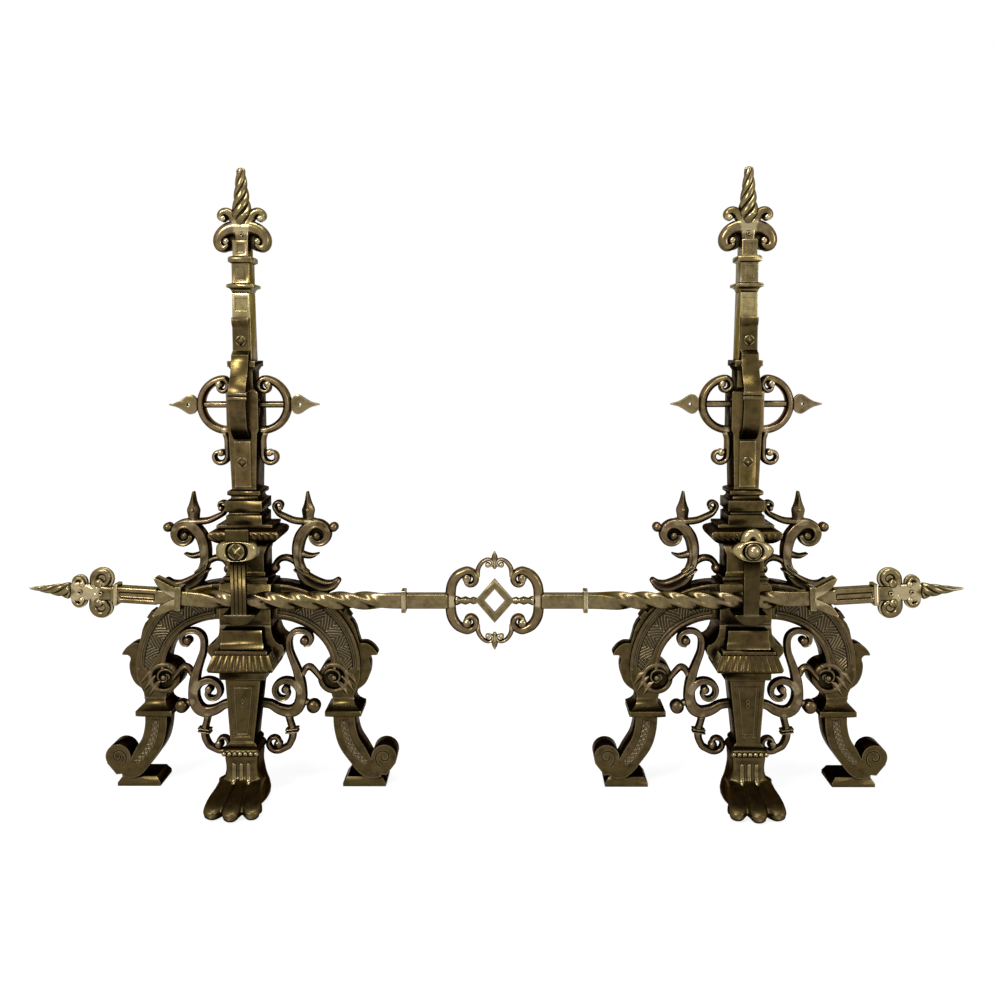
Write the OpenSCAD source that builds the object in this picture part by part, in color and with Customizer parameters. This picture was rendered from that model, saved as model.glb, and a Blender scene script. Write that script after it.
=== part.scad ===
// A pair of brass andirons joined by a crossbar, in millimetres.
// Each andiron is drawn about its own axis: x across, y from front (minus) to back, z up.

/* [Placing] */
// Distance between the axes of the two andirons
andiron_spacing = 682; // [660:1:720]

/* [Heights of the stacked stages] */
// Lion paw, floor to ankle
paw_h = 34; // [32:1:40]
// Fluted ankle
ankle_h = 28; // [22:1:36]
// Beaded band over the ankle
band_h = 12; // [10:1:16]
// Front pilaster
pilaster_h = 90; // [84:1:104]
// Hood and gadrooned capital of the front leg
capital_h = 67; // [64:1:76]
// Centre block that carries arches, hook and log bar
block_h = 112; // [106:1:124]
// Gadrooned cushion and its plate
cap_h = 27; // [24:1:34]
// Mouldings at the foot of the shaft
shaft_base_h = 48; // [44:1:60]
// Lower shaft with die block and waist collar
lower_shaft_h = 174; // [168:1:190]
// Upper shaft
upper_shaft_h = 91; // [86:1:110]
// Moulded neck with two collars
neck_h = 70; // [64:1:84]
// Solid middle of the finial crown
crown_h = 19; // [17:1:24]
// Twisted horn at the top
horn_h = 78; // [60:1:100]

/* [Shaft] */
// Width of the upper shaft at its foot
upper_shaft_w = 26; // [24:1:30]
// Depth of the upper shaft
upper_shaft_d = 42; // [38:1:46]
// Width of the lower shaft under the die
lower_shaft_w = 38; // [36:1:42]
// Depth of the lower shaft
lower_shaft_d = 60; // [56:1:66]
// Width of the die block where the ring passes
die_w = 43; // [41:1:46]
// Height of the die block
die_h = 60; // [56:1:64]
// Depth of the sunk panel in the upper shaft
panel_sink = 2; // [1:0.5:4]
// Thickness of the raised strip on the lower shaft
strip_t = 4; // [3:0.5:7]
// Width of the raised strip on the lower shaft
strip_w = 22; // [18:1:26]
// Diameter of the round base of a stud
stud_d = 17; // [12:1:22]

/* [Spit hook] */
// Width of the spit hook strap
spit_hook_w = 23; // [18:1:26]
// Reach of the spit hook in front of the shaft axis
spit_hook_reach = 66; // [62:1:76]

/* [Ring] */
// Outer radius of the two C straps
ring_r = 40; // [38:1:43]
// Width of the ring strap seen from the front
ring_strap_w = 9; // [7:0.5:11]
// Thickness of the ring strap from front to back
ring_t = 20; // [14:1:22]
// Diameter of the rod through the ring
rod_d = 9; // [7:0.5:11]
// Length of an arrow finial beyond the ring
arrow_l = 38; // [30:1:46]

/* [Centre block] */
// Width of the centre block
block_w = 70; // [66:1:76]
// Depth of the centre block
block_d = 90; // [84:1:96]
// Width of the gadrooned cushion's core
cap_w = 96; // [90:1:98]
// Depth of the gadrooned cushion's core
cap_d = 88; // [84:1:90]
// Diameter of the log bar bolt hole at the back
bolt_d = 16; // [10:1:20]
// Depth of the log bar bolt hole
bolt_depth = 28; // [15:1:32]

/* [Bar hook] */
// Clear space from block to hook strap
hook_gap = 31; // [27:1:36]
// Width of the hook strap
hook_strap_w = 21; // [18:1:26]
// Thickness of the hook strap
hook_strap_t = 8; // [6:0.5:11]
// Height of the boss centre over the bar seat
hook_rise = 85; // [78:1:90]
// Radius of the lobes of the boss
boss_lobe_r = 14; // [12:1:16]

/* [Brackets, arches and legs] */
// Thickness of the upper scroll brackets
bracket_t = 20; // [14:1:26]
// Thickness of the arches from front to back
arch_t = 50; // [44:1:56]
// Reach of an arch beyond the centre block
arch_reach = 120; // [112:1:130]
// Rise of an arch over its volute
arch_rise = 118; // [112:1:124]
// Radius of the volute that ends an arch
volute_r = 22; // [19:1:24]
// Width of a side leg at its top
leg_w = 30; // [26:1:34]
// Radius of the foot scroll
foot_r = 17.5; // [15:0.5:20]
// Width of a plinth
plinth_w = 60; // [54:1:68]
// Depth of a plinth
plinth_d = 62; // [56:1:68]
// Height of a plinth
plinth_h = 13; // [10:1:15]

/* [Front leg] */
// Width of the pilaster at its top
pilaster_w = 48; // [44:1:54]
// Width of the pilaster at its foot
pilaster_foot_w = 32; // [28:1:38]
// Depth of the pilaster
pilaster_d = 50; // [46:1:56]
// How far the pilaster's foot stands in front of its head
pilaster_lean = 14; // [8:1:20]
// Distance from the shaft axis to the toe tips
paw_reach = 176; // [168:1:186]
// Distance between neighbouring toes
toe_pitch = 24.5; // [22:0.5:26]
// Thickness of the pierced scroll panels
panel_t = 16; // [14:1:20]

/* [Tie rod] */
// Diameter of the iron rod that clamps the castings
tie_d = 12; // [8:1:14]
// Width across the flats of its nut
nut_w = 24; // [20:1:28]

/* [Crossbar] */
// Side of the square bar
bar_size = 20; // [16:0.5:21]
// Half of the length between the shoulders of the two end finials
bar_half = 515; // [500:1:540]
// Length of the bar over one quarter turn of its twist
twist_pitch = 33; // [30:1:36]
// Upward slope of the bar's ends in degrees
end_slope = 3.5; // [0:0.2:4.2]
// Half width of the centre frame
frame_half = 66; // [62:1:72]
// Thickness of the centre frame
frame_t = 15; // [12:1:18]
// Length of the twisted horns at the bar's ends
bar_horn_l = 58; // [45:1:75]

/* [Hidden] */

$fn = 48;
eps = 0.01;
fit = 0.3;          // play between pieces that move against each other
rod_fit = 0.15;     // play of a rod in its bore
bite = 1;           // how far one casting's part runs into the next of the same piece
far = 400;          // longer than any piece, for cutting
brass = "#8a7a3c";
dark_brass = "#6f6030";
copper_brass = "#9a7a4c";
iron = "#4a4744";

// Levels of the stages, from the floor up
z_ankle = paw_h;
z_band = z_ankle + ankle_h;
z_pilaster = z_band + band_h;
z_capital = z_pilaster + pilaster_h;
z_block = z_capital + capital_h;
z_cap = z_block + block_h;
z_base = z_cap + cap_h;
z_lower = z_base + shaft_base_h;
z_upper = z_lower + lower_shaft_h;
z_neck = z_upper + upper_shaft_h;
z_crown = z_neck + neck_h;
z_horn = z_crown + crown_h;

// Depths
block_front = -block_d / 2;
shaft_front = -lower_shaft_d / 2;
upper_front = -upper_shaft_d / 2;
leg_y = -5;                         // middle plane of arches and side legs
arch_front = leg_y - arch_t / 2;
bracket_y = 14;                     // middle plane of the upper brackets
panel_y = arch_front + 2 - panel_t / 2;
pilaster_front = -68;               // front of the pilaster's head
paw_y = pilaster_front - pilaster_lean;
frame_y = (paw_reach - block_d / 2) / 2;

// The bar and its seat
bar_r = bar_size * sqrt(2) / 2 - 0.4;   // radius swept by the bar's rounded corners
seat_z = z_block + 26;
bar_z = seat_z + bar_r + fit;
bar_y = block_front - hook_gap / 2;
strap_back = block_front - hook_gap;
boss_z = seat_z + hook_rise;

// Neck under the crown
neck_top_w = 21;

// Ring and rod
ring_z = z_lower + 115;
ring_y = -(tie_d + rod_d) / 2 - 2;  // ring and rod pass in front of the tie rod
die_z = z_lower + 108;              // middle of the die block
waist_h = 8;                        // collar on top of the lower shaft
waist_w = 37;
waist_d = 62;

// Arch and leg
volute_x = block_w / 2 + arch_reach - 37;
volute_z = z_block + 57 - arch_rise - 14;
arch_foot_z = z_block - 103;        // joint between arch and leg
leg_x = block_w / 2 + arch_reach - 24;
foot_x = leg_x + 55;
foot_z = plinth_h + 12 + foot_r;

// ---------- general shapes ----------

// An outline in x and z, given thickness about the depth y
module front_plate(y, t) {
    translate([0, y + t / 2, 0]) rotate([90, 0, 0]) linear_extrude(t) children();
}

// An outline in y and z, given the width w about x = 0
module side_plate(w) {
    translate([-w / 2, 0, 0]) rotate([90, 0, 90]) linear_extrude(w) children();
}

// Both halves of something drawn on the right
module both() {
    children();
    mirror([1, 0, 0]) children();
}

// A point of the smooth curve through a list, between its second and third point
function spline_at(a, b, c, d, t) =
    0.5 * (2 * b + (c - a) * t + (2 * a - 5 * b + 4 * c - d) * t * t
           + (3 * b - a - 3 * c + d) * t * t * t);

// The smooth curve through the points p, with n steps between two points
function spline(p, n = 5) = concat(
    [for (i = [0:len(p) - 2]) for (k = [0:n - 1])
        spline_at(p[max(i - 1, 0)], p[i], p[i + 1], p[min(i + 2, len(p) - 1)], k / n)],
    [p[len(p) - 1]]);

// A strap that winds in about c from radius r0 at angle a0 to r1 at a1, narrowing from w0 to w1
function volute(c, r0, r1, a0, a1, w0, w1, step = 15) =
    let (n = ceil(abs(a1 - a0) / step))
    [for (i = [0:n]) let (t = i / n, a = a0 + (a1 - a0) * t, r = r0 * pow(r1 / r0, t))
        [c[0] + r * cos(a), c[1] + r * sin(a), w0 + (w1 - w0) * t]];

// Points of an ellipse arc
function arc(c, rx, ry, a0, a1, n = 12) =
    [for (i = [0:n]) let (a = a0 + (a1 - a0) * i / n) [c[0] + rx * cos(a), c[1] + ry * sin(a)]];

// Direction of a path at its point i
function heading(p, i) =
    let (a = p[max(i - 1, 0)], b = p[min(i + 1, len(p) - 1)], d = [b[0] - a[0], b[1] - a[1]])
    d / norm(d);

// The edge of a strap, on its left (side 1) or right (side -1)
function strap_edge(p, side) =
    [for (i = [0:len(p) - 1]) let (h = heading(p, i), w = side * p[i][2] / 2)
        [p[i][0] - h[1] * w, p[i][1] + h[0] * w]];

// The outline of a flat strap along a path whose points are [x, z, width]
module ribbon(p) {
    right = strap_edge(p, -1);
    polygon(concat(strap_edge(p, 1), [for (i = [len(p) - 1:-1:0]) right[i]]));
}

// A strap of the depth t about y
module strap(p, y, t) {
    front_plate(y, t) ribbon(p);
}

// A strap that ends in a round eye
module scroll(p, eye, y, t) {
    strap(p, y, t);
    disc(p[len(p) - 1][0], p[len(p) - 1][1], eye, y, t);
}

// A flat disc seen from the front
module disc(x, z, r, y, t) {
    front_plate(y, t) translate([x, z]) circle(r);
}

// The closed outline whose right edge is the list e of [half width, height]
module mirrored(e) {
    polygon(concat(e, [for (i = [len(e) - 1:-1:0]) [-e[i][0], e[i][1]]]));
}

// A four-sided moulding with mitred corners, from its front and side profiles
module square_turning(front, side, y = 0) {
    translate([0, y, 0]) intersection() {
        front_plate(0, far) mirrored(front);
        side_plate(far) mirrored(side);
    }
}

// The profile e made deeper by d on each side
function deeper(e, d) = [for (p = e) [p[0] + d, p[1]]];

// A hollow quarter curve of a profile from [w0, z0] to [w1, z1]
function cove(w0, z0, w1, z1, n = 5) =
    [for (i = [0:n]) [w1 + (w0 - w1) * (1 - sin(90 * i / n)), z0 + (z1 - z0) * (1 - cos(90 * i / n))]];

// A swelling quarter curve of a profile from [w0, z0] to [w1, z1]
function ovolo(w0, z0, w1, z1, n = 5) =
    [for (i = [0:n]) [w0 + (w1 - w0) * (1 - cos(90 * i / n)), z0 + (z1 - z0) * sin(90 * i / n)]];

// The bore of the tie rod
module tie_bore() {
    translate([0, 0, z_block - far / 2]) cylinder(d = tie_d + 2 * rod_fit, h = 3 * far);
}

// One andiron put in its place: s is -1 on the left and 1 on the right
module at_andiron(s) {
    translate([s * andiron_spacing / 2, frame_y, 0]) children();
}

// A piece drawn for x > 0, put on the side away from the middle of the pair
module outer(s) {
    at_andiron(s) mirror([s < 0 ? 1 : 0, 0, 0]) children();
}

// The same on the side towards the middle of the pair
module inner(s) {
    at_andiron(s) mirror([s < 0 ? 0 : 1, 0, 0]) children();
}

// ---------- finial ----------

// A horn with spiral grooves that opens from a short cone on z = 0 and tapers to its tip
module horn(length, r, tip_r, foot_l, foot_r, turn) {
    lobes = 5;
    tip_l = 3;
    flank = [for (i = [0:lobes * 4 - 1]) let (a = 360 * i / (lobes * 4))
        r * (1 - (i % 4 == 0 ? 0.2 : 0)) * [cos(a), sin(a)]];
    cylinder(r1 = foot_r, r2 = r * 0.85, h = foot_l);
    translate([0, 0, foot_l - eps])
        linear_extrude(length - foot_l - tip_l + eps, twist = turn, scale = tip_r / r,
                slices = 16, segments = lobes * 4)
            polygon(flank);
    translate([0, 0, length - tip_l - eps]) cylinder(r1 = tip_r * 0.8, r2 = tip_r * 0.4, h = tip_l);
}

// The plate under a horn: two big scrolls that droop and two small ones that rise, each a disc
// with an incised spiral, beside a body with the right edge e. Its axis is up, it is t thick.
module fleur(big, big_r, small, small_r, e, t) {
    difference() {
        union() {
            both() {
                disc(big[0], big[1], big_r, 0, t);
                disc(small[0], small[1], small_r, 0, t);
            }
            front_plate(0, t) mirrored(e);
        }
        both() for (y = [-t / 2, t / 2]) {
            strap(volute(big, big_r * 0.68, 2.8, 100, -320, 2.8, 2), y, 4);
            strap(volute(small, small_r * 0.6, 2, 270, 600, 2.2, 1.6), y, 4);
        }
    }
}

horn_r = 14.5;                      // finial horn at its widest
horn_foot_r = 4.5;                  // and where it stands on the crown
horn_foot_l = 15;
crown_t = 17;

module finial_horn() color(brass)
    translate([0, 0, z_horn]) horn(horn_h, horn_r, 5, horn_foot_l, horn_foot_r, -250);

module finial_crown() color(copper_brass) difference() {
    translate([0, 0, z_crown]) fleur([24.5, 4], 15.5, [24, crown_h + 15], 9.3,
        [[11, 0], [13, 8], [16, crown_h - 3], [21, crown_h + 5], [17, crown_h + 11],
         [9, crown_h + 5], [6, crown_h]], crown_t);
    translate([-neck_top_w / 2 - fit, -far / 2, z_crown - far])
        cube([neck_top_w + 2 * fit, far, far]);
    disc(0, z_crown + 10, 1.8, 0, far);
    translate([0, 0, z_horn - eps])
        cylinder(r1 = horn_foot_r + fit, r2 = horn_r * 0.85 + fit, h = horn_foot_l);
    tie_pocket();
}

// Room for the upper end of the tie rod inside the crown
module tie_pocket() {
    translate([0, 0, z_crown - eps]) cylinder(d = tie_d + 2 * rod_fit, h = 6);
}

// ---------- shaft ----------
neck_profile = concat(
    ovolo(12, z_neck, 18.5, z_neck + 7, 3), [[18.5, z_neck + 11], [12, z_neck + 13]],
    [[12, z_crown - 31], [16, z_crown - 29], [16, z_crown - 24]],
    ovolo(16, z_crown - 24, neck_top_w / 2, z_crown - 21, 3), [[neck_top_w / 2, z_crown]]);

module neck_collars() color(brass) difference() {
    square_turning(neck_profile, deeper(neck_profile, 7));
    front_plate(-neck_top_w / 2 - 7, 3) translate([-4, z_crown - 16]) square([8, 11]);
    front_plate(-19, 3) translate([-5, z_neck + 17]) square([10, neck_h - 52]);
    tie_bore();
}

module upper_shaft() color(brass) difference() {
    square_turning([[upper_shaft_w / 2, z_upper], [upper_shaft_w / 2 - 1.5, z_neck]],
        [[upper_shaft_d / 2, z_upper], [upper_shaft_d / 2, z_neck]]);
    front_plate(upper_front, 2 * panel_sink)
        translate([-upper_shaft_w / 2 + 5, z_neck - 24]) square([upper_shaft_w - 10, 17]);
    tie_bore();
}

module lower_shaft() color(brass) difference() {
    union() {
        square_turning(lower_outline(), lower_side());
        translate([-strip_w / 2, shaft_front - strip_t, z_lower + 4])
            cube([strip_w, strip_t + bite, die_z - die_h / 2 - 16 - z_lower]);
    }
    translate([-far / 2, ring_y, ring_z]) rotate([0, 90, 0])
        cylinder(d = rod_d + 2 * rod_fit, h = far);
    tie_bore();
}

// Right edge of the lower shaft seen from the front
function lower_outline() = [
    [lower_shaft_w / 2 - 2.5, z_lower], [lower_shaft_w / 2, die_z - die_h / 2 - 2],
    [die_w / 2, die_z - die_h / 2 + 3], [die_w / 2, die_z + die_h / 2 - 7],
    [die_w / 2 - 7, die_z + die_h / 2], [14, die_z + die_h / 2],
    [14, z_upper - waist_h - 6], [waist_w / 2 - 2, z_upper - waist_h],
    [waist_w / 2, z_upper - waist_h], [waist_w / 2, z_upper]];

// Back edge of the lower shaft seen from the side
function lower_side() = [
    [lower_shaft_d / 2, z_lower], [lower_shaft_d / 2, die_z + die_h / 2 - 6],
    [lower_shaft_d / 2 - 6, die_z + die_h / 2], [lower_shaft_d / 2 - 6, z_upper - waist_h - 6],
    [waist_d / 2, z_upper - waist_h], [waist_d / 2, z_upper]];

// Strap that bows forward from the upper shaft and comes back to the lower one
module spit_hook() color(brass) {
    out = -spit_hook_reach;
    top = z_upper + 58;
    foot = die_z - die_h / 2 - 10;
    waist = -waist_d / 2 - 2;
    difference() {
        union() {
            side_plate(spit_hook_w) polygon(concat(
                [[upper_front, top], [upper_front - 9, top], [upper_front - 11, top - 4],
                 [upper_front - 9, top - 9], [upper_front - 5, top - 13],
                 [upper_front - 5, z_upper + 14]],
                spline([[waist - 5, z_upper + 8], [waist - 6, z_upper], [out + 19, z_upper - 18],
                    [out + 6, z_upper - 34], [out + 2, z_upper - 48], [out + 3, z_upper - 66],
                    [out + 9, z_upper - 88], [shaft_front - 12, foot + 5], [shaft_front, foot]]),
                spline([[shaft_front, foot + 11], [shaft_front - 10, foot + 14],
                    [out + 18, z_upper - 84], [out + 13, z_upper - 64], [out + 13, z_upper - 48],
                    [out + 18, z_upper - 36], [out + 27, z_upper - 23], [waist + 1, z_upper - 10]]),
                [[waist + 2, z_upper - waist_h], [-waist_d / 2, z_upper - waist_h],
                 [-waist_d / 2, z_upper], [upper_front, z_upper]]));
            translate([-spit_hook_w / 2 - 2, out - 1, z_upper - 51]) cube([spit_hook_w + 4, 8, 4]);
            translate([-spit_hook_w / 2 - 2, out - 1, z_upper - 45]) cube([spit_hook_w + 4, 8, 4]);
        }
        translate([-far / 2, shaft_front, z_lower]) cube([far, 60, z_upper - waist_h - 8 - z_lower]);
    }
}

// A pyramid-headed rivet whose round base stands on the depth y
module stud(y, z, d) {
    translate([0, y, z]) rotate([90, 0, 0]) {
        cylinder(d = d, h = 2.5);
        intersection() {
            translate([0, 0, 2.5 - eps]) rotate(45) pyramid(d * 0.8, 6);
            cylinder(d = d, h = 9);
        }
    }
}

// A low four-sided pyramid of base b and height h, cut by two pairs of sloping planes
module pyramid(b, h) {
    intersection() {
        rotate([90, 0, 0]) linear_extrude(2 * b, center = true) mirrored([[b / 2, 0], [0, h]]);
        rotate([90, 0, 90]) linear_extrude(2 * b, center = true) mirrored([[b / 2, 0], [0, h]]);
    }
}

module studs() color(brass) {
    stud(upper_front - 5, z_upper + 27, stud_d * 0.8);
    stud(shaft_front - strip_t, z_lower + 38, stud_d * 0.8);
    stud(strap_back - hook_strap_t - 4, boss_z, stud_d + 5);
}

// ---------- ring ----------
module ring_scrolls() color(copper_brass) {
    cx = die_w / 2 + 2.5;
    r = ring_r - ring_strap_w / 2;
    stem = lower_shaft_w / 2 + 5;
    y = ring_y;
    difference() {
        both() {
            difference() {
                disc(cx, ring_z, ring_r, y, ring_t);
                disc(cx, ring_z, ring_r - ring_strap_w, 0, far);
                translate([cx - far, -far / 2, ring_z - far / 2]) cube([far, far, far]);
            }
            scroll(concat([[cx + 3, ring_z + r, ring_strap_w - 1]],
                volute([cx + 5.5, ring_z + r - 11], 11, 4.5, 100, 400, ring_strap_w - 1.5, 5)),
                5, y, ring_t);
            scroll(concat(
                [[cx + 3, ring_z - r, 8], [stem + 2.5, ring_z - r - 4, 8.5],
                 [stem, ring_z - r - 12, 8.5], [stem, ring_z - r - 28, 8.5]],
                volute([stem + 11.5, ring_z - r - 35], 11.5, 4.5, 180, 510, 8.5, 5)), 5.5, y, ring_t);
        }
        front_plate(0, far) mirrored(lower_outline());
        translate([-far / 2, y, ring_z]) rotate([0, 90, 0])
            cylinder(d = rod_d + 2 * rod_fit, h = far);
    }
}

module ring_rod() color(dark_brass) {
    tip = die_w / 2 + 2.5 + ring_r;
    translate([-tip - 2, ring_y, ring_z]) rotate([0, 90, 0]) cylinder(d = rod_d, h = 2 * tip + 4);
    both() difference() {
        front_plate(ring_y, 10) translate([0, ring_z]) rotate(-90) mirrored(concat(
            [[6, tip + fit]],
            spline([[7.5, tip + 1], [12, tip + 5], [13.3, tip + 10], [11, tip + 15],
                [7, tip + 21], [3.4, tip + 28], [1, tip + arrow_l]], 3)));
        disc(tip + 12, ring_z, 2, 0, far);
    }
}

// ---------- foot of the shaft and centre block ----------
base_profile = concat(
    [[24.5, z_base], [24.5, z_base + 13]], cove(24.5, z_base + 13, 21, z_base + 17, 3),
    [[25, z_base + 19], [25, z_base + 33]], cove(23, z_base + 33, 18, z_base + 39, 4),
    [[22.5, z_base + 41], [22.5, z_lower - 2], [18, z_lower]]);

module shaft_base() color(brass) difference() {
    square_turning(base_profile, deeper(base_profile, 11));
    tie_bore();
}

// The groove between two gadroons, from the point a (top) to the point b (foot)
module groove(a, b, r) {
    d = b - a;
    l = norm(d);
    translate(a - d / l) rotate([0, acos(d[2] / l), atan2(d[1], d[0])]) cylinder(r = r, h = l + 2);
}

// Grooves that cut a flaring moulding of the size w by d into gadroons of about the pitch p.
// It measures w and d at the height z1 and less at the height z0, by the amount lean on a side.
module gadroon_grooves(w, d, z0, z1, lean, r, p) {
    nx = round(w / p);
    ny = round(d / p);
    for (i = [1:nx - 1]) for (s = [-1, 1])
        let (u = i / nx - 0.5)
        groove([u * (w - 2 * lean), s * (d / 2 - lean), z0], [u * w, s * d / 2, z1], r);
    for (j = [1:ny - 1]) for (s = [-1, 1])
        let (v = j / ny - 0.5)
        groove([s * (w / 2 - lean), v * (d - 2 * lean), z0], [s * w / 2, v * d, z1], r);
}

// One side of the cushion's profile, whose greatest half width is e
cushion_under = 18;                 // how far the cushion hangs over the block
function cushion(e) = [[e - cushion_under, z_cap], [e - 8, z_cap + 3], [e - 1, z_cap + 9],
    [e, z_cap + 13], [e - 3, z_cap + 18], [e - 9, z_base - 6], [e - 12, z_base - 5],
    [e - 10, z_base - 5], [e - 10, z_base]];

module gadroon_cap() color(brass) difference() {
    square_turning(cushion(cap_w / 2), cushion(cap_d / 2));
    gadroon_grooves(cap_w, cap_d, z_base - 5, z_cap + 14, 7, 1.5, 9.5);
    gadroon_grooves(cap_w - 14, cap_d - 14, z_cap + 12, z_cap + 3, -6, 1.5, 8.1);
    tie_bore();
}

// The block's side edge seen from the side and from the front
block_side = [[block_d / 2, z_block], [block_d / 2, z_block + 46],
    [36, z_block + 58], [36, z_block + 62], [38, z_block + 63], [38, z_block + 67],
    [34, z_block + 69], [34, z_block + 73], [32, z_block + 75], [32, z_cap - 14],
    [cap_d / 2 - cushion_under, z_cap]];
block_front_outline = [[block_w / 2, z_block], [block_w / 2, z_block + 57], [29, z_block + 58],
    [29, z_block + 62], [31, z_block + 63], [31, z_block + 67], [27, z_block + 69],
    [27, z_block + 73], [25, z_block + 75], [25, z_cap - 14], [cap_w / 2 - cushion_under, z_cap]];

module centre_block() color(dark_brass) difference() {
    square_turning(block_front_outline, block_side);
    front_plate(block_front, 3) translate([-far / 2, z_block + 3]) square([far, 2]);
    translate([0, block_d / 2 - bolt_depth, z_block + 24]) rotate([-90, 0, 0])
        cylinder(d = bolt_d, h = far);
    tie_bore();
}

// J-shaped hook: corbel under the bar, strap in front of it, boss at its head
module bar_hook(fancy) color(brass) {
    corbel_r = 28;
    sag = 16;
    head = boss_z + (fancy ? 14 : 29);
    difference() {
        intersection() {
            translate([0, block_front, seat_z - sag + corbel_r]) rotate([90, 0, 0])
                cylinder(r = corbel_r, h = hook_gap + hook_strap_t);
            translate([-far / 2, -far, seat_z - far]) cube([far, far, far]);
        }
        translate([hook_strap_w / 2, strap_back - far, seat_z - 7]) cube([far, far, far]);
        mirror([1, 0, 0])
            translate([hook_strap_w / 2, strap_back - far, seat_z - 7]) cube([far, far, far]);
    }
    difference() {
        front_plate(strap_back - hook_strap_t / 2, hook_strap_t)
            translate([-hook_strap_w / 2, seat_z - 7]) square([hook_strap_w, boss_z - seat_z]);
        if (!fancy) for (x = [-1:1])
            front_plate(strap_back - hook_strap_t, 2)
                translate([x * hook_strap_w / 4 - 0.8, seat_z + 6])
                    square([1.6, hook_rise - boss_lobe_r - 10]);
    }
    front_plate(strap_back - hook_strap_t / 2 - 2, hook_strap_t + 4 - eps) {
        both() translate([boss_lobe_r, boss_z]) circle(boss_lobe_r);
        translate([-boss_lobe_r, boss_z - boss_lobe_r]) square(2 * boss_lobe_r);
        if (fancy) translate([0, head]) circle(boss_lobe_r + 1);
        else translate([-16, boss_z]) square([32, head - boss_z]);
    }
}

// ---------- upper brackets ----------

arch_c = [block_w / 2, z_block + 57 - arch_rise];  // centre of the arch's curves
arch_w = 39;                        // width of the arch at its spring, seen from the front
arch_crown_h = 49;                  // and at its crown

module arch_outline() {
    e = arch_c[0] + arch_reach;
    polygon(concat(
        arc(arch_c, arch_reach, arch_rise, 90, 0, 16),
        [[e - 1, arch_c[1] - 14], [e - 5, arch_c[1] - 26],
         [leg_x + 15, arch_foot_z + 7], [leg_x + 14, arch_foot_z],
         [leg_x - 15, arch_foot_z], [leg_x - 17, arch_foot_z + 8]],
        arc(arch_c, arch_reach - arch_w, arch_rise - arch_crown_h, 0, 90, 14)));
}

// The arch's solid body with the volute at its end, t thick
module arch_body(t) {
    front_plate(leg_y, t) arch_outline();
    disc(volute_x, volute_z, volute_r, leg_y, t);
}

module bracket_body() {
    o = block_w / 2 + 34;           // the clasp's place beside the block
    b = z_block + 67;               // and its height
    knob = [base_side + 14.5, z_base + 21];
    eye = [o + 24.5, b + 51.5];     // centre of the big scroll
    y = bracket_y;
    t = bracket_t;
    // stem from the scroll beside the shaft to the big scroll
    strap(concat(spline([[eye[0] - 5, b + 70.5, 10], [o + 5, b + 70.5, 9.5], [o - 9, b + 72, 9],
        [o - 20, b + 76.5, 8.5], [knob[0] - 0.5, b + 81.5, 7.5]], 4),
        volute(knob, 7, 3, 222, -70, 6.5, 4)), y, t);
    disc(knob[0], knob[1], 4.5, y, t);
    // big scroll, closed behind its eye
    strap(concat(spline([[o, b + 3, 12], [o - 3.5, b + 12, 12.5], [o - 5, b + 23, 13],
        [o - 4.5, b + 37, 14], [o - 0.5, b + 50, 14], [o + 7, b + 61, 13.5]]),
        volute(eye, 18, 8.4, 128, -190, 13, 8)), y, t);
    disc(eye[0], eye[1], 6, y, t);
    disc(eye[0], eye[1], 12, y + 4, t - 10);
    // knob outside
    strap([[o + 38, b + 61, 9], [o + 46.5, b + 63, 9]], y, t);
    disc(o + 46.5, b + 63, 7, y, t);
    // spike with a swelling at its foot
    strap(spline([[o + 11, b + 71, 14], [o + 11, b + 79, 15], [o + 11.3, b + 87, 18],
        [o + 11.2, b + 93.5, 12.5], [o + 11, b + 100.5, 8.5], [o + 10.6, b + 113.5, 4]], 4), y, t);
    // thorn
    strap(spline([[o - 4.5, b + 34, 10], [o - 2, b + 27, 10], [o + 5, b + 23.5, 9],
        [o + 15, b + 22, 7], [o + 24.5, b + 25.5, 2.5]], 4), y, t);
    // clasp
    front_plate(y, t) translate([o + 0.5, b + 1]) rotate(-38) square([20, 9], center = true);
    // foot on the arch
    strap(spline([[o, b + 1, 12], [o + 5, b - 8, 14], [o + 17, b - 18, 17],
        [o + 32, b - 22.5, 16], [o + 44, b - 19, 12], [o + 51, b - 13, 9]], 4), y, t);
    // branch towards the block
    strap(spline([[o - 1, b + 6, 10], [o - 9, b + 15, 9.5], [o - 20, b + 19.5, 9],
        [o - 30, b + 17.5, 9], [o - 37, b + 10, 8.5]], 4), y, t);
    disc(o - 38, b + 4.5, 7, y, t);
}

base_side = 25;                     // half width of the moulding beside the bracket's knob

module bracket() color(copper_brass) difference() {
    bracket_body();
    arch_body(arch_t);
    leaves();
    translate([0, 0, z_block]) cube([base_side + fit, far, far]);
    front_plate(bracket_y, far) mirrored(block_front_outline);
    disc(block_w / 2 + 45.3, z_block + 154, 2, bracket_y, far);
}

// ---------- arches and side legs ----------
arch_rim = 7;                       // width of the raised border of the arch's band
band_sink = 2;                      // depth of the band between its borders

module arch() color(brass) difference() {
    union() {
        arch_body(arch_t);
        leaves();
    }
    front_plate(arch_front, 2 * band_sink) polygon(concat(
        arc(arch_c, arch_reach - arch_rim, arch_rise - arch_rim, 86, 2, 16),
        [[arch_c[0] + arch_reach - arch_rim - 9, arch_c[1] - 4]],
        arc(arch_c, arch_reach - arch_w + arch_rim, arch_rise - arch_crown_h + arch_rim, 28, 86, 14)));
    disc(volute_x, volute_z, volute_r - 6.5, arch_front, 6);
    difference() {
        disc(volute_x, volute_z, volute_r - 6.5, arch_front, 20);
        scroll(volute([volute_x, volute_z], volute_r - 8, 4, 150, -190, 4.5, 3), 4, 0, far);
    }
}

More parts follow.
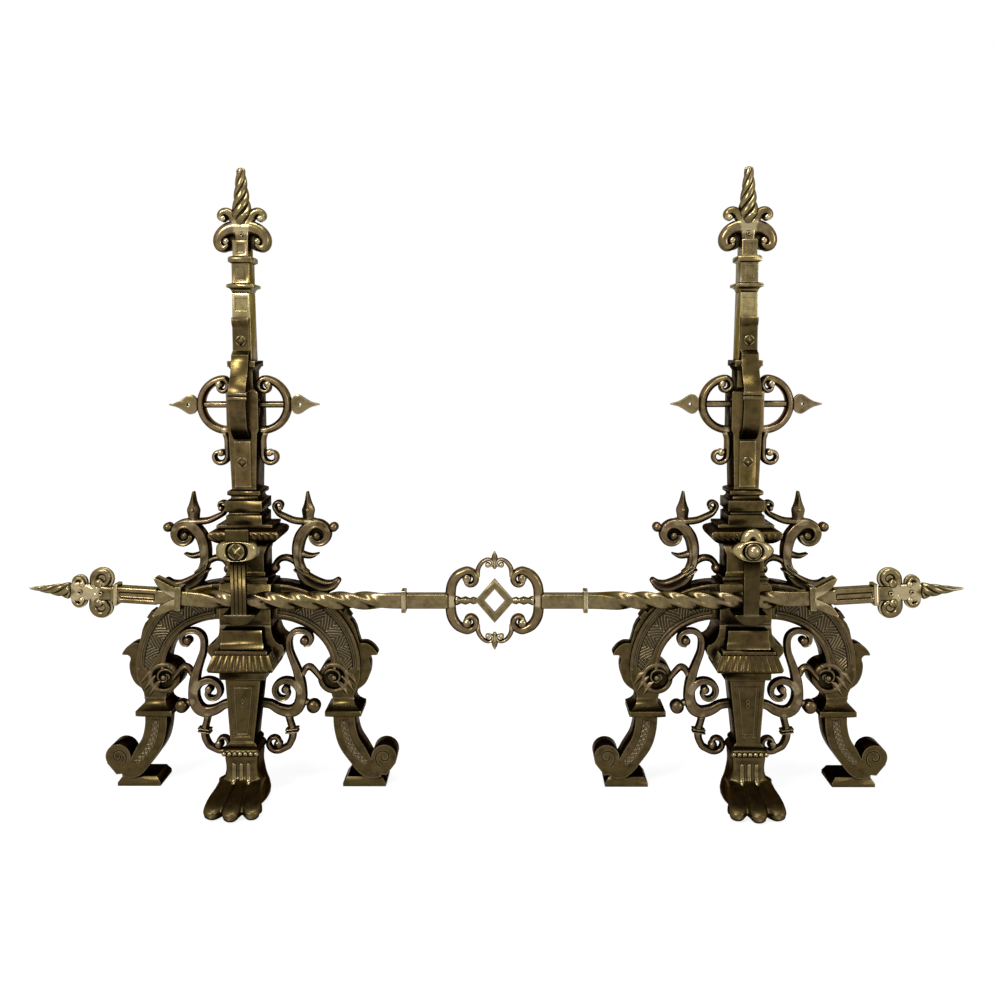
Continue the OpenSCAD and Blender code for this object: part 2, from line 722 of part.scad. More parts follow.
// Acanthus leaves and the clasp along the outer edge of the arch
module leaves() {
    t = arch_t - 22;
    e = arch_c[0] + arch_reach;
    clasp_a = 36;
    strap([for (i = [0:10]) let (a = 56 - 4.4 * i)
        [arch_c[0] + (arch_reach + 1) * cos(a), arch_c[1] + (arch_rise + 1) * sin(a),
         6 + 3 * sin(72 * i)]], leg_y, t);
    front_plate(leg_y, t) translate([arch_c[0] + (arch_reach + 3) * cos(clasp_a),
            arch_c[1] + (arch_rise + 3) * sin(clasp_a)])
        rotate(clasp_a) square([9, 12], center = true);
    front_plate(leg_y, t) translate([e, arch_c[1]]) polygon(concat(
        spline([[-8, -35], [5, -25], [11.5, -12], [13, 2], [11, 11], [15, 15.5], [22.5, 16],
            [20, 22], [14, 28.5], [6, 32.5], [-4, 32]], 4), [[-16, 28], [-16, -30]]));
}

module side_leg() color(brass) {
    neck = 14;
    collar_z = arch_foot_z - 16;
    top = collar_z - 11;
    front = [[neck + 1, arch_foot_z], [neck, arch_foot_z - 4], [neck + 1, arch_foot_z - 8],
        [neck + 4, arch_foot_z - 12], [23, collar_z], [25, collar_z - 1], [25, collar_z - 8],
        [leg_w / 2 + 2, top]];
    t = arch_t - 6;
    intersection() {
        front_plate(leg_y, far) translate([leg_x, 0]) mirrored(front);
        translate([leg_x, leg_y, 0]) side_plate(far) mirrored(deeper(front, 9));
    }
    difference() {
        union() {
            strap(spline([[leg_x, top + bite, leg_w], [leg_x + 1, top - 16, leg_w],
                [leg_x + 6, top - 36, leg_w], [leg_x + 17, top - 54, leg_w - 1],
                [leg_x + 33, plinth_h + 12, 24], [leg_x + 50, plinth_h + 10, 17]], 5), leg_y, t);
            disc(foot_x, foot_z, foot_r, leg_y, t);
            front_plate(leg_y, t) polygon([[foot_x - 8, plinth_h + 5], [foot_x + 3, plinth_h + 4],
                [foot_x + foot_r - 1.5, foot_z - 9], [foot_x, foot_z]]);
        }
        translate([0, -far / 2, plinth_h - bite - far]) cube(far);
        strap(volute([foot_x, foot_z], foot_r - 3, 3.5, 250, -200, 2, 1.6), leg_y - t / 2, 4);
    }
    plinth();
}

module plinth() {
    x = foot_x - 28;
    e = plinth_w / 2;
    intersection() {
        front_plate(leg_y + 10, far) translate([x, 0]) mirrored([[e, 0], [e, 5], [e - 6, plinth_h]]);
        translate([x, leg_y + 10, 0]) side_plate(far) mirrored(
            [[plinth_d / 2, 0], [plinth_d / 2, 5], [plinth_d / 2 - 4, plinth_h]]);
    }
}

// ---------- front leg ----------
capital_front = pilaster_front + 24;

module leg_capital() color(brass) difference() {
    union() {
        // wide body behind, flaring from the block
        intersection() {
            front_plate(0, far) mirrored(concat(
                [[40, z_capital + 11], [44, z_capital + 20], [52, z_capital + 31],
                 [52, z_capital + 38]],
                cove(50, z_capital + 42, block_w / 2, z_block, 5)));
            translate([-far / 2, block_front, 0]) cube([far, block_d - 8, far]);
        }
        square_turning(hood_profile, deeper(hood_profile, hood_d - 45), hood_y);
    }
    translate([0, hood_y, 0])
        gadroon_grooves(90, 2 * hood_d, z_capital + 35, z_capital + 17, 7, 1.5, 9);
    tie_bore();
    translate([0, 0, z_capital]) cylinder(d = nut_w + 8, h = 20);
}

hood_d = 38.5;                      // half depth of the capital over its gadroons
hood_y = capital_front + 35 - hood_d;
hood_profile = concat(
    [[31, z_capital], [31, z_capital + 9], [34, z_capital + 10], [43, z_capital + 13],
     [45, z_capital + 17], [38, z_capital + 35], [35, z_capital + 36],
     [35, z_capital + 40], [29, z_capital + 42], [29, z_capital + 48]],
    cove(29, z_capital + 49, 27, z_block, 4));

module front_pilaster() color(brass) {
    side = [[pilaster_front, z_capital], [pilaster_front + pilaster_d, z_capital],
        [paw_y + pilaster_d, z_pilaster + 8], [paw_y + pilaster_d + 2, z_pilaster + 6],
        [paw_y + pilaster_d + 2, z_pilaster], [paw_y - 3, z_pilaster],
        [paw_y - 3, z_pilaster + 6], [paw_y, z_pilaster + 8]];
    difference() {
        intersection() {
            front_plate(0, far) mirrored([[pilaster_foot_w / 2 + 4, z_pilaster],
                [pilaster_foot_w / 2 + 4, z_pilaster + 4], [pilaster_foot_w / 2, z_pilaster + 8],
                [pilaster_w / 2, z_capital]]);
            side_plate(far) polygon(side);
        }
        pilaster_panel();
    }
}

// The sunk panel follows the pilaster's taper and lean
module pilaster_panel() {
    slope = atan(pilaster_lean / (pilaster_h - 8));
    translate([0, paw_y, z_pilaster + 8]) rotate([-slope, 0, 0])
        front_plate(0, 3) mirrored([[pilaster_foot_w / 2 - 5, 6], [pilaster_w / 2 - 7, pilaster_h - 16]]);
}

module ankle() color(brass) {
    y = paw_y + pilaster_d / 2 - 3;
    band = [[pilaster_foot_w / 2 + 6, z_band + 3], [pilaster_foot_w / 2 + 8, z_band + 5],
        [pilaster_foot_w / 2 + 8, z_band + 9], [pilaster_foot_w / 2 + 6, z_pilaster]];
    neck = [[24, z_ankle], [22, z_ankle + 8], [21, z_band - 8], [22, z_band - 2],
        [23, z_band + 3]];
    difference() {
        square_turning(concat(neck, band), deeper(concat(neck, band), 6), y);
        for (x = [-1:1])
            translate([x * 10, y - 29.5, z_ankle + 3]) cylinder(d = 8, h = ankle_h - 7);
    }
    for (i = [-2:2])
        translate([i * 10 - 4, y - pilaster_foot_w / 2 - 14, z_band + 7]) rotate([0, 90, 0])
            cylinder(d = 5.6, h = 8);
}

// Lion paw: three toes with claws in front of a broad pad
module paw() color(brass) {
    $fn = 20;
    y = paw_y + pilaster_d / 2 - 3;
    tip = -paw_reach;
    intersection() {
        union() {
            hull() {
                translate([-24, y - 28, z_ankle - 2]) cube([48, 56, 2]);
                for (s = [-1, 1]) {
                    translate([s * 23, y + 14, 9]) sphere(10);
                    translate([s * 26, y - 34, 13]) sphere(12);
                }
            }
            for (i = [-1:1]) {
                x = i * toe_pitch;
                back = abs(i) * 9;
                hull() {
                    translate([x * 0.7, y - 26, 20]) sphere(12);
                    translate([x, tip + 38 + back, 18]) sphere(12.5);
                    translate([x * 1.04, tip + 15 + back, 11.5]) sphere(12);
                }
                translate([x * 1.04, tip + 12 + back, 8]) rotate([96, 0, 0])
                    cylinder(r1 = 6, r2 = 1.6, h = 11.8);
            }
        }
        translate([-far / 2, tip, 0]) cube([far, far, z_ankle]);
    }
}

// ---------- pierced scroll panels ----------
module panel_body() {
    f = pilaster_foot_w / 2;        // half width of the pilaster where the panel meets it
    e = z_pilaster + 30;
    m = f + 58;                     // the stem's widest place
    eye = [f + 34, e + 34];         // centre of the big spiral
    top = [m + 6, z_block - 20];    // eye of the upper scroll
    y = panel_y;
    t = panel_t;
    // stem with its upper scroll
    strap(spline([[f + 8, e + 19, 12], [f + 16, e + 17, 12], [f + 28, e + 10, 14],
        [f + 42, e + 7, 16], [f + 52, e + 12, 17], [m - 0.5, e + 24, 16], [m, e + 38, 15],
        [m - 1.5, e + 51, 14], [m - 5, e + 65, 12], [m - 10, e + 79, 10.5],
        [m - 14.5, e + 92, 9.5], [m - 15.5, top[1] - 0.5, 9], [top[0] - 18.5, top[1] + 8, 8.5],
        [top[0] - 11.5, top[1] + 13, 8], [top[0] - 3, top[1] + 13.5, 8],
        [top[0] + 4.5, top[1] + 9.5, 7], [top[0] + 7.5, top[1] + 2.5, 5]], 4), y, t);
    disc(top[0], top[1], 8.5, y, t);
    // big spiral
    scroll(volute(eye, 23, 5, 10, 400, 12, 5), 6.5, y, t);
    // bud outside
    strap([[m + 2, e + 22, 10], [m + 17, e + 17, 9]], y, t);
    disc(m + 17, e + 15, 10, y, t);
    // small leaf that touches the arch's volute
    strap(spline([[m + 2, e + 60, 9], [m + 6, e + 67, 9], [m + 12, e + 70, 9],
        [m + 18, e + 65, 8], [volute_x - volute_r + 5, volute_z + 2, 7]], 3), y, t);
    // lower strap with clasp and small scroll
    scroll(concat(spline([[m - 18, e + 1, 10], [m - 16, e - 8, 9], [m - 13.5, e - 18, 10],
        [m - 13.5, e - 30, 10], [m - 19, e - 42, 9.5]], 4),
        volute([f + 20.5, e - 37], 13.5, 5, 300, -20, 8.5, 6)), 6.5, y, t);
    front_plate(y, t) translate([m - 13.5, e - 18.5]) rotate(8) square([16, 8], center = true);
}

module scroll_panel() color(copper_brass) difference() {
    panel_body();
    arch_body(arch_t);
    front_plate(panel_y, far) mirrored([[pilaster_foot_w / 2 + 8, z_band - 20],
        [pilaster_foot_w / 2 + 8, z_pilaster], [pilaster_foot_w / 2 + 4, z_pilaster],
        [pilaster_foot_w / 2 + 4, z_pilaster + 4], [pilaster_foot_w / 2, z_pilaster + 8],
        [pilaster_w / 2, z_capital], [31, z_capital], [31, z_capital + 9],
        [34, z_capital + 10], [43, z_capital + 13], [45, z_capital + 17]]);
}

// ---------- tie rod ----------
module tie_rod() color(iron) {
    translate([0, 0, z_capital + 2]) cylinder(d = tie_d, h = z_crown + 5 - z_capital - 2);
    translate([0, 0, z_capital + 8]) difference() {
        cylinder(d = nut_w / cos(30), h = 12, $fn = 6);
        translate([0, 0, -1]) cylinder(d = tie_d, h = 14);
    }
}

// ---------- crossbar ----------

// Something drawn along +x on the bar's axis, put on the bar's left (-1) or right (1) half
module on_bar(s) {
    translate([0, frame_y + bar_y, bar_z]) mirror([s < 0 ? 1 : 0, 0, 0]) children();
}

// The same for what stands on the sloping end
module on_end(s) {
    on_bar(s) translate([bend_x, 0, 0]) rotate([0, -end_slope, 0]) translate([-bend_x, 0, 0])
        children();
}

twist_start = 155;
bend_x = twist_start + 6 * twist_pitch;     // the bar bends upward outside the hook
leaf_x = bend_x + 72;               // ridge of the split-leaf collar
channel_x = bar_half - 62;

// A square rod with rounded-off corners along x from a to b
module square_rod(a, b, w = bar_size) {
    translate([a, 0, 0]) rotate([90, 0, 90]) linear_extrude(b - a) square_section(w);
}

module square_section(w) {
    c = 0.6;
    polygon([[-w / 2, -w / 2 + c], [-w / 2 + c, -w / 2], [w / 2 - c, -w / 2], [w / 2, -w / 2 + c],
        [w / 2, w / 2 - c], [w / 2 - c, w / 2], [-w / 2 + c, w / 2], [-w / 2, w / 2 - c]]);
}

// A stretch of the twisted bar from x on, over n quarter turns
module twisted_rod(x, n, turn) {
    translate([x, 0, 0]) rotate([90, 0, 90])
        linear_extrude(n * twist_pitch, twist = 90 * n * turn, slices = 6 * n, segments = 8)
            square_section(bar_size);
}

// The level part of one half of the bar, with the twist's hand turn
module bar_half_rod(turn) color(brass) {
    square_rod(frame_half - 3, twist_start + eps);
    twisted_rod(twist_start, 6, turn);
}

// The sloping part, on which the twist runs out
module bar_end_rod(turn) color(brass) difference() {
    union() {
        twisted_rod(bend_x, 1, turn);
        square_rod(bend_x + twist_pitch - eps, bar_half);
        square_rod(channel_x, bar_half, bar_size + 2);
    }
    translate([channel_x + 4, -bar_size / 2 - 2, -3]) cube([bar_half - channel_x - 14, 5, 6]);
}

module band(x, l, w, d) color(brass) difference() {
    translate([x - l / 2, -d / 2, -w / 2]) cube([l, d, w]);
    square_rod(x - l, x + l, bar_size);
}

module crossbar_bands() {
    for (s = [-1, 1]) {
        on_bar(s) band(frame_half + 56, 6, 30, 25);
        on_end(s) difference() {
            band(bar_half - 6, 5, 29, 25);
            square_rod(bar_half - 20, bar_half, bar_size + 2);
        }
    }
}

module leaf_collar() color(brass) difference() {
    union() {
        translate([leaf_x - 4, -bar_size / 2 - 4, -16]) cube([8, bar_size + 8, 32]);
        for (m = [0, 1]) mirror([0, 0, m])
            front_plate(0, bar_size + 5) ribbon(spline([[leaf_x + 2, 6, 12], [leaf_x + 14, 12, 12],
                [leaf_x + 25, 19, 9], [leaf_x + 33, 26, 2]], 4));
    }
    square_rod(leaf_x - 10, leaf_x + 60, bar_size);
    square_rod(channel_x, leaf_x + 60, bar_size + 2);
}

end_body = 56;                      // length of the plate of an end finial
end_horn_r = 11.5;

module end_scrolls() color(copper_brass) difference() {
    translate([bar_half, 0, 0]) rotate([0, 90, 0]) fleur([19.5, 14.5], 16.8, [13, 46.5], 11,
        [[9.5, 0], [12, 10], [9, 32], [14, 40], [16, 50], [end_horn_r, end_body]], 14);
    disc(bar_half + 39, 0, 2.4, 0, far);
    front_plate(0, far) translate([bar_half + 10, 0]) polygon([[-4, -4], [-4, 4], [5, 0]]);
    translate([bar_half + end_body, 0, 0]) rotate([0, 90, 0])
        cylinder(r1 = end_horn_r * 0.6 + fit, r2 = end_horn_r + fit, h = 15);
}

module end_horns(turn) color(brass)
    translate([bar_half + end_body, 0, 0]) rotate([0, 90, 0])
        horn(bar_horn_l, end_horn_r, 1.4, 4, end_horn_r * 0.6, turn);

module centre_frame() {
    r = frame_half - 7;
    t = frame_t;
    for (m = [0, 1]) mirror([0, 0, m]) {
        both() {
            scroll(concat(spline([[r + 0.5, -bite, 14], [r - 1, 20, 14], [r - 9, 34, 13],
                [r - 22, 40.5, 12]]), volute([r - 25, 28], 12, 4, 95, 400, 10, 5)), 5.5, 0, t);
            scroll(concat(spline([[r - 36, 34, 7], [r - 37, 44, 6.5], [r - 43, 53, 6], [9, 56.5, 5.5]], 4),
                volute([7, 50], 6.5, 2.5, 80, 330, 5, 3)), 3.5, 0, t);
        }
        strap([[0, 46, 7], [0, 56, 9], [0, 61, 7], [0, 67, 2.5]], 0, t);
    }
}

// The frame with the sockets that take the ends of the bars
module socketed_frame() color(copper_brass) difference() {
    centre_frame();
    both() square_rod(frame_half - 3, frame_half + 8);
}

module lozenge() color(brass) {
    h = 30;                         // half height of the lozenge
    w = 26;                         // its half width
    bar = 12;                       // width of its sides, measured across
    neck = frame_half - 14 - w + 2; // length of a baluster
    front_plate(0, 9) difference() {
        polygon([[w, 0], [0, h], [-w, 0], [0, -h]]);
        polygon([[w - bar, 0], [0, h - bar - 2], [bar - w, 0], [0, bar + 2 - h]]);
    }
    both() translate([w - 2, 0, 0]) rotate([0, 90, 0])
        rotate_extrude() polygon([[0, 0], [4, 0], [5.5, neck * 0.18], [3.5, neck * 0.32],
            [6, neck * 0.54], [4, neck * 0.75], [6.5, neck * 0.93], [6.5, neck], [0, neck]]);
}

// One half of the bar. The twist has the same hand on both halves.
module bar_half(s) {
    on_bar(s) bar_half_rod(-s);
    on_end(s) bar_end_rod(-s);
}

// ---------- output ----------
at_andiron(-1) finial_horn();  // left_finial_horn
at_andiron(-1) finial_crown();  // left_finial_crown
at_andiron(-1) neck_collars();  // left_neck_collars
at_andiron(-1) upper_shaft();  // left_upper_shaft
at_andiron(-1) spit_hook();  // left_spit_hook
at_andiron(-1) studs();  // left_studs
at_andiron(-1) lower_shaft();  // left_lower_shaft
at_andiron(-1) ring_scrolls();  // left_ring_scrolls
at_andiron(-1) ring_rod();  // left_ring_rod
at_andiron(-1) shaft_base();  // left_shaft_base
at_andiron(-1) gadroon_cap();  // left_gadroon_cap
outer(-1) bracket();  // left_outer_bracket
inner(-1) bracket();  // left_inner_bracket
at_andiron(-1) centre_block();  // left_centre_block
at_andiron(-1) bar_hook(false);  // left_bar_hook
at_andiron(-1) leg_capital();  // left_leg_capital
at_andiron(-1) front_pilaster();  // left_front_pilaster
at_andiron(-1) ankle();  // left_ankle
at_andiron(-1) paw();  // left_paw
outer(-1) arch();  // left_outer_arch
inner(-1) arch();  // left_inner_arch
outer(-1) side_leg();  // left_outer_leg
inner(-1) side_leg();  // left_inner_leg
outer(-1) scroll_panel();  // left_outer_scroll_panel
inner(-1) scroll_panel();  // left_inner_scroll_panel
at_andiron(-1) tie_rod();  // left_tie_rod
at_andiron(1) finial_horn();  // right_finial_horn
at_andiron(1) finial_crown();  // right_finial_crown
at_andiron(1) neck_collars();  // right_neck_collars
at_andiron(1) upper_shaft();  // right_upper_shaft
at_andiron(1) spit_hook();  // right_spit_hook
at_andiron(1) studs();  // right_studs
at_andiron(1) lower_shaft();  // right_lower_shaft
at_andiron(1) ring_scrolls();  // right_ring_scrolls
at_andiron(1) ring_rod();  // right_ring_rod
at_andiron(1) shaft_base();  // right_shaft_base
at_andiron(1) gadroon_cap();  // right_gadroon_cap
outer(1) bracket();  // right_outer_bracket
inner(1) bracket();  // right_inner_bracket
at_andiron(1) centre_block();  // right_centre_block
at_andiron(1) bar_hook(true);  // right_bar_hook
at_andiron(1) leg_capital();  // right_leg_capital
at_andiron(1) front_pilaster();  // right_front_pilaster
at_andiron(1) ankle();  // right_ankle
at_andiron(1) paw();  // right_paw
outer(1) arch();  // right_outer_arch
inner(1) arch();  // right_inner_arch
outer(1) side_leg();  // right_outer_leg
inner(1) side_leg();  // right_inner_leg
outer(1) scroll_panel();  // right_outer_scroll_panel
inner(1) scroll_panel();  // right_inner_scroll_panel
at_andiron(1) tie_rod();  // right_tie_rod
bar_half(-1);  // crossbar_left_bar
bar_half(1);  // crossbar_right_bar
crossbar_bands();
for (s = [-1, 1]) on_end(s) leaf_collar();  // crossbar_leaf_collars
for (s = [-1, 1]) on_end(s) end_scrolls();  // crossbar_end_scrolls
for (s = [-1, 1]) on_end(s) end_horns(290);  // crossbar_end_horns
on_bar(1) socketed_frame();  // crossbar_centre_frame
on_bar(1) lozenge();  // crossbar_lozenge
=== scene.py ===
"""A pair of cast brass andirons with their crossbar, dressed for a plain studio view.

Sizes inside the classes are in millimetres in the andiron's own frame, as in the part's source:
x across, away from the middle of the pair on the outer side, y from the front to the back, z up.
Meshes are put in place in metres.
"""

import logging
import math
from dataclasses import dataclass
from enum import Enum

import bpy  # noqa: E402
import numpy as np  # noqa: E402
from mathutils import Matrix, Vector  # noqa: E402

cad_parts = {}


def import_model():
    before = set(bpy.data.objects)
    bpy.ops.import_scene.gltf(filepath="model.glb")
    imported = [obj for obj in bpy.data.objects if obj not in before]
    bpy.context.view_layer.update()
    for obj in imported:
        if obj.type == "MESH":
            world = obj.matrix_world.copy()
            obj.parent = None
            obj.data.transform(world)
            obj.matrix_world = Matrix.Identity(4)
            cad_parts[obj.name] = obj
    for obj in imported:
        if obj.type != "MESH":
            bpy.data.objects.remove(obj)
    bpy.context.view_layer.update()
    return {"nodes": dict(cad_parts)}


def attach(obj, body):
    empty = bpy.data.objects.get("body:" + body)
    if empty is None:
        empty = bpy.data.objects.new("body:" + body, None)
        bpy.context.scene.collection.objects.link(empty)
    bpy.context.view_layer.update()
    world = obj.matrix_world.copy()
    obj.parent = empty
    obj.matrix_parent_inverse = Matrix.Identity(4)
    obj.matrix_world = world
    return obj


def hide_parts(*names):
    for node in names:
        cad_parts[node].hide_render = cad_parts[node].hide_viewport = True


Array = np.ndarray
Socket = bpy.types.NodeSocket
log = logging.getLogger("andirons")


# ---------------------------------------------------------------- levels and depths

@dataclass(frozen=True)
class Levels:
    """Heights and depths that the pieces share, the same values as in the part's source."""

    spacing: float = 682.0
    frame_y: float = 65.5
    z_band: float = 62.0
    z_pilaster: float = 74.0
    z_capital: float = 164.0
    z_block: float = 231.0
    z_base: float = 370.0
    z_crown: float = 753.0
    z_horn: float = 772.0
    leg_y: float = -5.0
    arch_t: float = 50.0
    block_w: float = 70.0
    volute_x: float = 118.0
    volute_z: float = 156.0
    volute_r: float = 22.0
    pilaster_foot_w: float = 32.0
    bar_y: float = -60.5
    bar_z: float = 271.04

    @property
    def arch_front(self) -> float:
        """Depth of the arches' front face."""
        return self.leg_y - self.arch_t / 2


LEVELS = Levels()


class Side(Enum):
    """The two andirons, with the sign of their place along x."""

    LEFT = -1
    RIGHT = 1

    @property
    def word(self) -> str:
        """The side's word in the names of nodes and bodies."""
        return self.name.lower()


class Profile(Enum):
    """Cross-sections of a cast strap, seen along its path."""

    DOMED = "domed"
    CHANNEL = "channel"
    ROUND = "round"
    RIDGE = "ridge"


# ---------------------------------------------------------------- curves

def spline(points: list, n: int = 8) -> Array:
    """Smooth curve through points, n steps between two points.

    Catmull-Rom blend of four neighbours, the first and last counted twice.

    Args:
        points: rows of equal length, such as x, z, width.
        n: steps between neighbouring points.

    Returns:
        Rows along the curve, the last point included.
    """
    p = np.array(points, float)
    last = len(p) - 1
    i = np.repeat(np.arange(last), n)
    t = np.tile(np.arange(n) / n, last)[:, None]
    a, b, c, d = p[np.maximum(i - 1, 0)], p[i], p[i + 1], p[np.minimum(i + 2, last)]
    q = 0.5 * (2 * b + (c - a) * t + (2 * a - 5 * b + 4 * c - d) * t**2
               + (3 * b - a - 3 * c + d) * t**3)
    return np.vstack([q, p[last]])


def volute(c: tuple, r0: float, r1: float, a0: float, a1: float, w0: float, w1: float,
           step: float = 7.0) -> Array:
    """A strap that winds in about c: radius r0 at a0 degrees shrinks geometrically to r1 at a1.

    Args:
        c: centre x, z.
        r0: first radius.
        r1: last radius.
        a0: first angle in degrees.
        a1: last angle in degrees.
        w0: first width.
        w1: last width.
        step: largest step in degrees.

    Returns:
        Rows x, z, width.
    """
    t = np.linspace(0, 1, int(math.ceil(abs(a1 - a0) / step)) + 1)
    a = np.radians(a0 + (a1 - a0) * t)
    r = r0 * (r1 / r0) ** t
    return np.stack([c[0] + r * np.cos(a), c[1] + r * np.sin(a), w0 + (w1 - w0) * t], 1)


def hole_rim(x: float, z: float, r: float, w: float) -> Array:
    """Rows x, z, width of a fine raised ring, closed over its own start."""
    return volute((x, z), r, r, 90, 440, w, w, 30)


def resample(path: Array, pitch: float) -> Array:
    """The same path with points at about equal distances.

    Args:
        path: rows whose first two values are x and z.
        pitch: distance between new points.

    Returns:
        New rows, every column interpolated along the length.
    """
    s = np.concatenate([[0], np.cumsum(np.hypot(*np.diff(path[:, :2], axis=0).T))])
    n = max(int(round(s[-1] / pitch)), 4)
    at = np.linspace(0, s[-1], n + 1)
    return np.stack([np.interp(at, s, path[:, k]) for k in range(path.shape[1])], 1)


def smooth_path(path: Array, rounds: int = 2) -> Array:
    """Evens out the corners between joined curves by averaging neighbours, the ends kept.

    Args:
        path: rows of points.
        rounds: how often.

    Returns:
        Rows as many as before.
    """
    p = path.copy()
    for _ in range(rounds):
        p[1:-1] = 0.25 * p[:-2] + 0.5 * p[1:-1] + 0.25 * p[2:]
    return p


def headings(path: Array) -> Array:
    """Unit directions of a path in its plane, from central differences."""
    d = np.gradient(path[:, :2], axis=0)
    return d / np.maximum(np.linalg.norm(d, axis=1, keepdims=True), 1e-9)


# ---------------------------------------------------------------- shells

class Shell:
    """Vertices (n, 3) and faces (m, 3 or 4) of several closed tubes, in millimetres."""

    def __init__(self) -> None:
        """Starts empty."""
        self.verts: list[Array] = []
        self.faces: list[Array] = []
        self.count = 0

    def loft(self, rings: Array, flip: bool = False) -> "Shell":
        """A closed tube through rings (n, m, 3), its two ends closed with fans.

        Args:
            rings: n rings of m points, each ring closed on itself.
            flip: turns the faces round.

        Returns:
            This shell.
        """
        n, m = rings.shape[:2]
        i, j = np.meshgrid(np.arange(n - 1), np.arange(m), indexing="ij")
        k = (j + 1) % m
        quads = np.stack([i * m + j, i * m + k, (i + 1) * m + k, (i + 1) * m + j], -1).reshape(-1, 4)
        j = np.arange(m)
        first = np.stack([np.full(m, n * m), (j + 1) % m, j], 1)
        last = np.stack([np.full(m, n * m + 1), (n - 1) * m + j, (n - 1) * m + (j + 1) % m], 1)
        verts = np.vstack([rings.reshape(-1, 3), rings[0].mean(0), rings[-1].mean(0)])
        for group in (quads, first, last):
            self.faces.append(self.count + (group[:, ::-1] if flip else group))
        self.verts.append(verts)
        self.count += len(verts)
        return self

    def join(self, other: "Shell") -> "Shell":
        """Adds another shell's faces.

        Args:
            other: the shell to add.

        Returns:
            This shell.
        """
        offset = self.count
        self.verts += other.verts
        self.faces += [f + offset for f in other.faces]
        self.count += other.count
        return self

    def mirrored(self) -> "Shell":
        """A copy mirrored in x, its faces still outward."""
        return self.flipped((-1, 1, 1))

    def flipped(self, signs: tuple) -> "Shell":
        """A copy with one axis turned round, its faces still outward.

        Args:
            signs: factors 1 or -1 of x, y and z, one of them -1.

        Returns:
            The copy.
        """
        out = Shell()
        out.verts = [v * signs for v in self.verts]
        out.faces = [f[:, ::-1] for f in self.faces]
        out.count = self.count
        return out

    def both(self, signs: tuple = (-1, 1, 1)) -> "Shell":
        """This shell and its mirror image in one."""
        return Shell().join(self).join(self.flipped(signs))

    def mesh(self, name: str, origin: tuple) -> bpy.types.Object:
        """Makes the mesh object, in metres, in place.

        Args:
            name: object name.
            origin: place of the shell's own origin in the row frame, in millimetres.

        Returns:
            The new object, at the origin of the scene.
        """
        verts = (np.vstack(self.verts) + np.array(origin)) / 1000
        quads, tris = (np.vstack([f for f in self.faces if f.shape[1] == k]) for k in (4, 3))
        loops = np.concatenate([quads.ravel(), tris.ravel()]).astype(np.int32)
        starts = np.concatenate([np.arange(len(quads)) * 4, quads.size + np.arange(len(tris)) * 3])
        data = bpy.data.meshes.new(name)
        data.vertices.add(len(verts))
        data.vertices.foreach_set("co", verts.astype(np.float32).ravel())
        data.loops.add(len(loops))
        data.loops.foreach_set("vertex_index", loops)
        data.polygons.add(len(starts))
        data.polygons.foreach_set("loop_start", starts.astype(np.int32))
        data.polygons.foreach_set("use_smooth", np.ones(len(starts), bool))
        data.update(calc_edges=True)
        data.validate()
        obj = bpy.data.objects.new(name, data)
        bpy.context.scene.collection.objects.link(obj)
        return obj


def section(profile: Profile, n: int = 13) -> Array:
    """Closed outline of a strap's cross-section, u across and v from front (-0.5) to back (0.5).

    The front follows a height curve over u, the sides are straight and the corners are cut round.

    Args:
        profile: which front the strap has.
        n: points over the front.

    Returns:
        (m, 2) points, running round the outline.
    """
    u = np.linspace(-1, 1, n)
    u = np.sign(u) * np.abs(u) ** 0.8
    if profile is Profile.DOMED:
        sink = 0.30 * np.abs(u) ** 2.6
    elif profile is Profile.CHANNEL:
        sink = 0.22 * np.abs(u) ** 6 + 0.06 * np.exp(-((u / 0.45) ** 4))
    elif profile is Profile.RIDGE:
        sink = 0.30 * np.abs(u) ** 1.15
    else:
        sink = 0.5 * (1 - np.sqrt(np.maximum(1 - u**2, 0)))
    front = np.stack([u * 0.5, -0.5 + sink], 1)
    if profile is Profile.ROUND:
        back = np.stack([-u[1:-1] * 0.5, 0.5 - sink[1:-1]], 1)
        return np.vstack([front, back])
    side = np.array([[0.5, 0.0], [0.5, 0.34], [0.44, 0.46], [0.3, 0.5]])
    back = np.vstack([side, side[::-1] * [-1, 1]])
    return np.vstack([front, back])


def strap(shell: Shell, path: Array | list, y: float, t: float, profile: Profile = Profile.DOMED,
          pitch: float = 1.6, tip: float = 0.5) -> Array:
    """Carries a cross-section along a path in the x, z plane and rounds both ends.

    A point of the surface is path + normal * u * width, with depth y + v * thickness. Beyond an
    end the section shrinks as a quarter circle does.

    Args:
        shell: takes the strap.
        path: rows x, z, width.
        y: depth of the middle plane.
        t: thickness from front to back.
        profile: cross-section.
        pitch: distance between rings.
        tip: how far a rounded end stands out, as a share of the width.

    Returns:
        The resampled path.
    """
    p = smooth_path(resample(np.asarray(path, float), pitch))
    h = headings(p)
    round_end = np.radians([75, 45, 20])
    reach, shrink = np.sin(round_end), np.maximum(np.cos(round_end), 0.25)

    def end(row: Array, way: Array) -> Array:
        """Three rows beyond a path's end, the outermost first."""
        out = row[:2] + np.outer(reach * row[2] * tip, way)
        return np.column_stack([out, row[2] * shrink])

    q = np.vstack([end(p[0], -h[0]), p, end(p[-1], h[-1])[::-1]])
    hq = np.vstack([np.repeat(h[:1], 3, 0), h, np.repeat(h[-1:], 3, 0)])
    thin = 0.55 + 0.45 * shrink
    deep = np.concatenate([thin, np.ones(len(p)), thin[::-1]])
    uv = section(profile)
    x = q[:, :1] - hq[:, 1:2] * uv[:, 0] * q[:, 2:3]
    z = q[:, 1:2] + hq[:, 0:1] * uv[:, 0] * q[:, 2:3]
    depth = y + uv[:, 1] * t * deep[:, None]
    shell.loft(np.stack([x, depth, z], -1), flip=True)
    return p


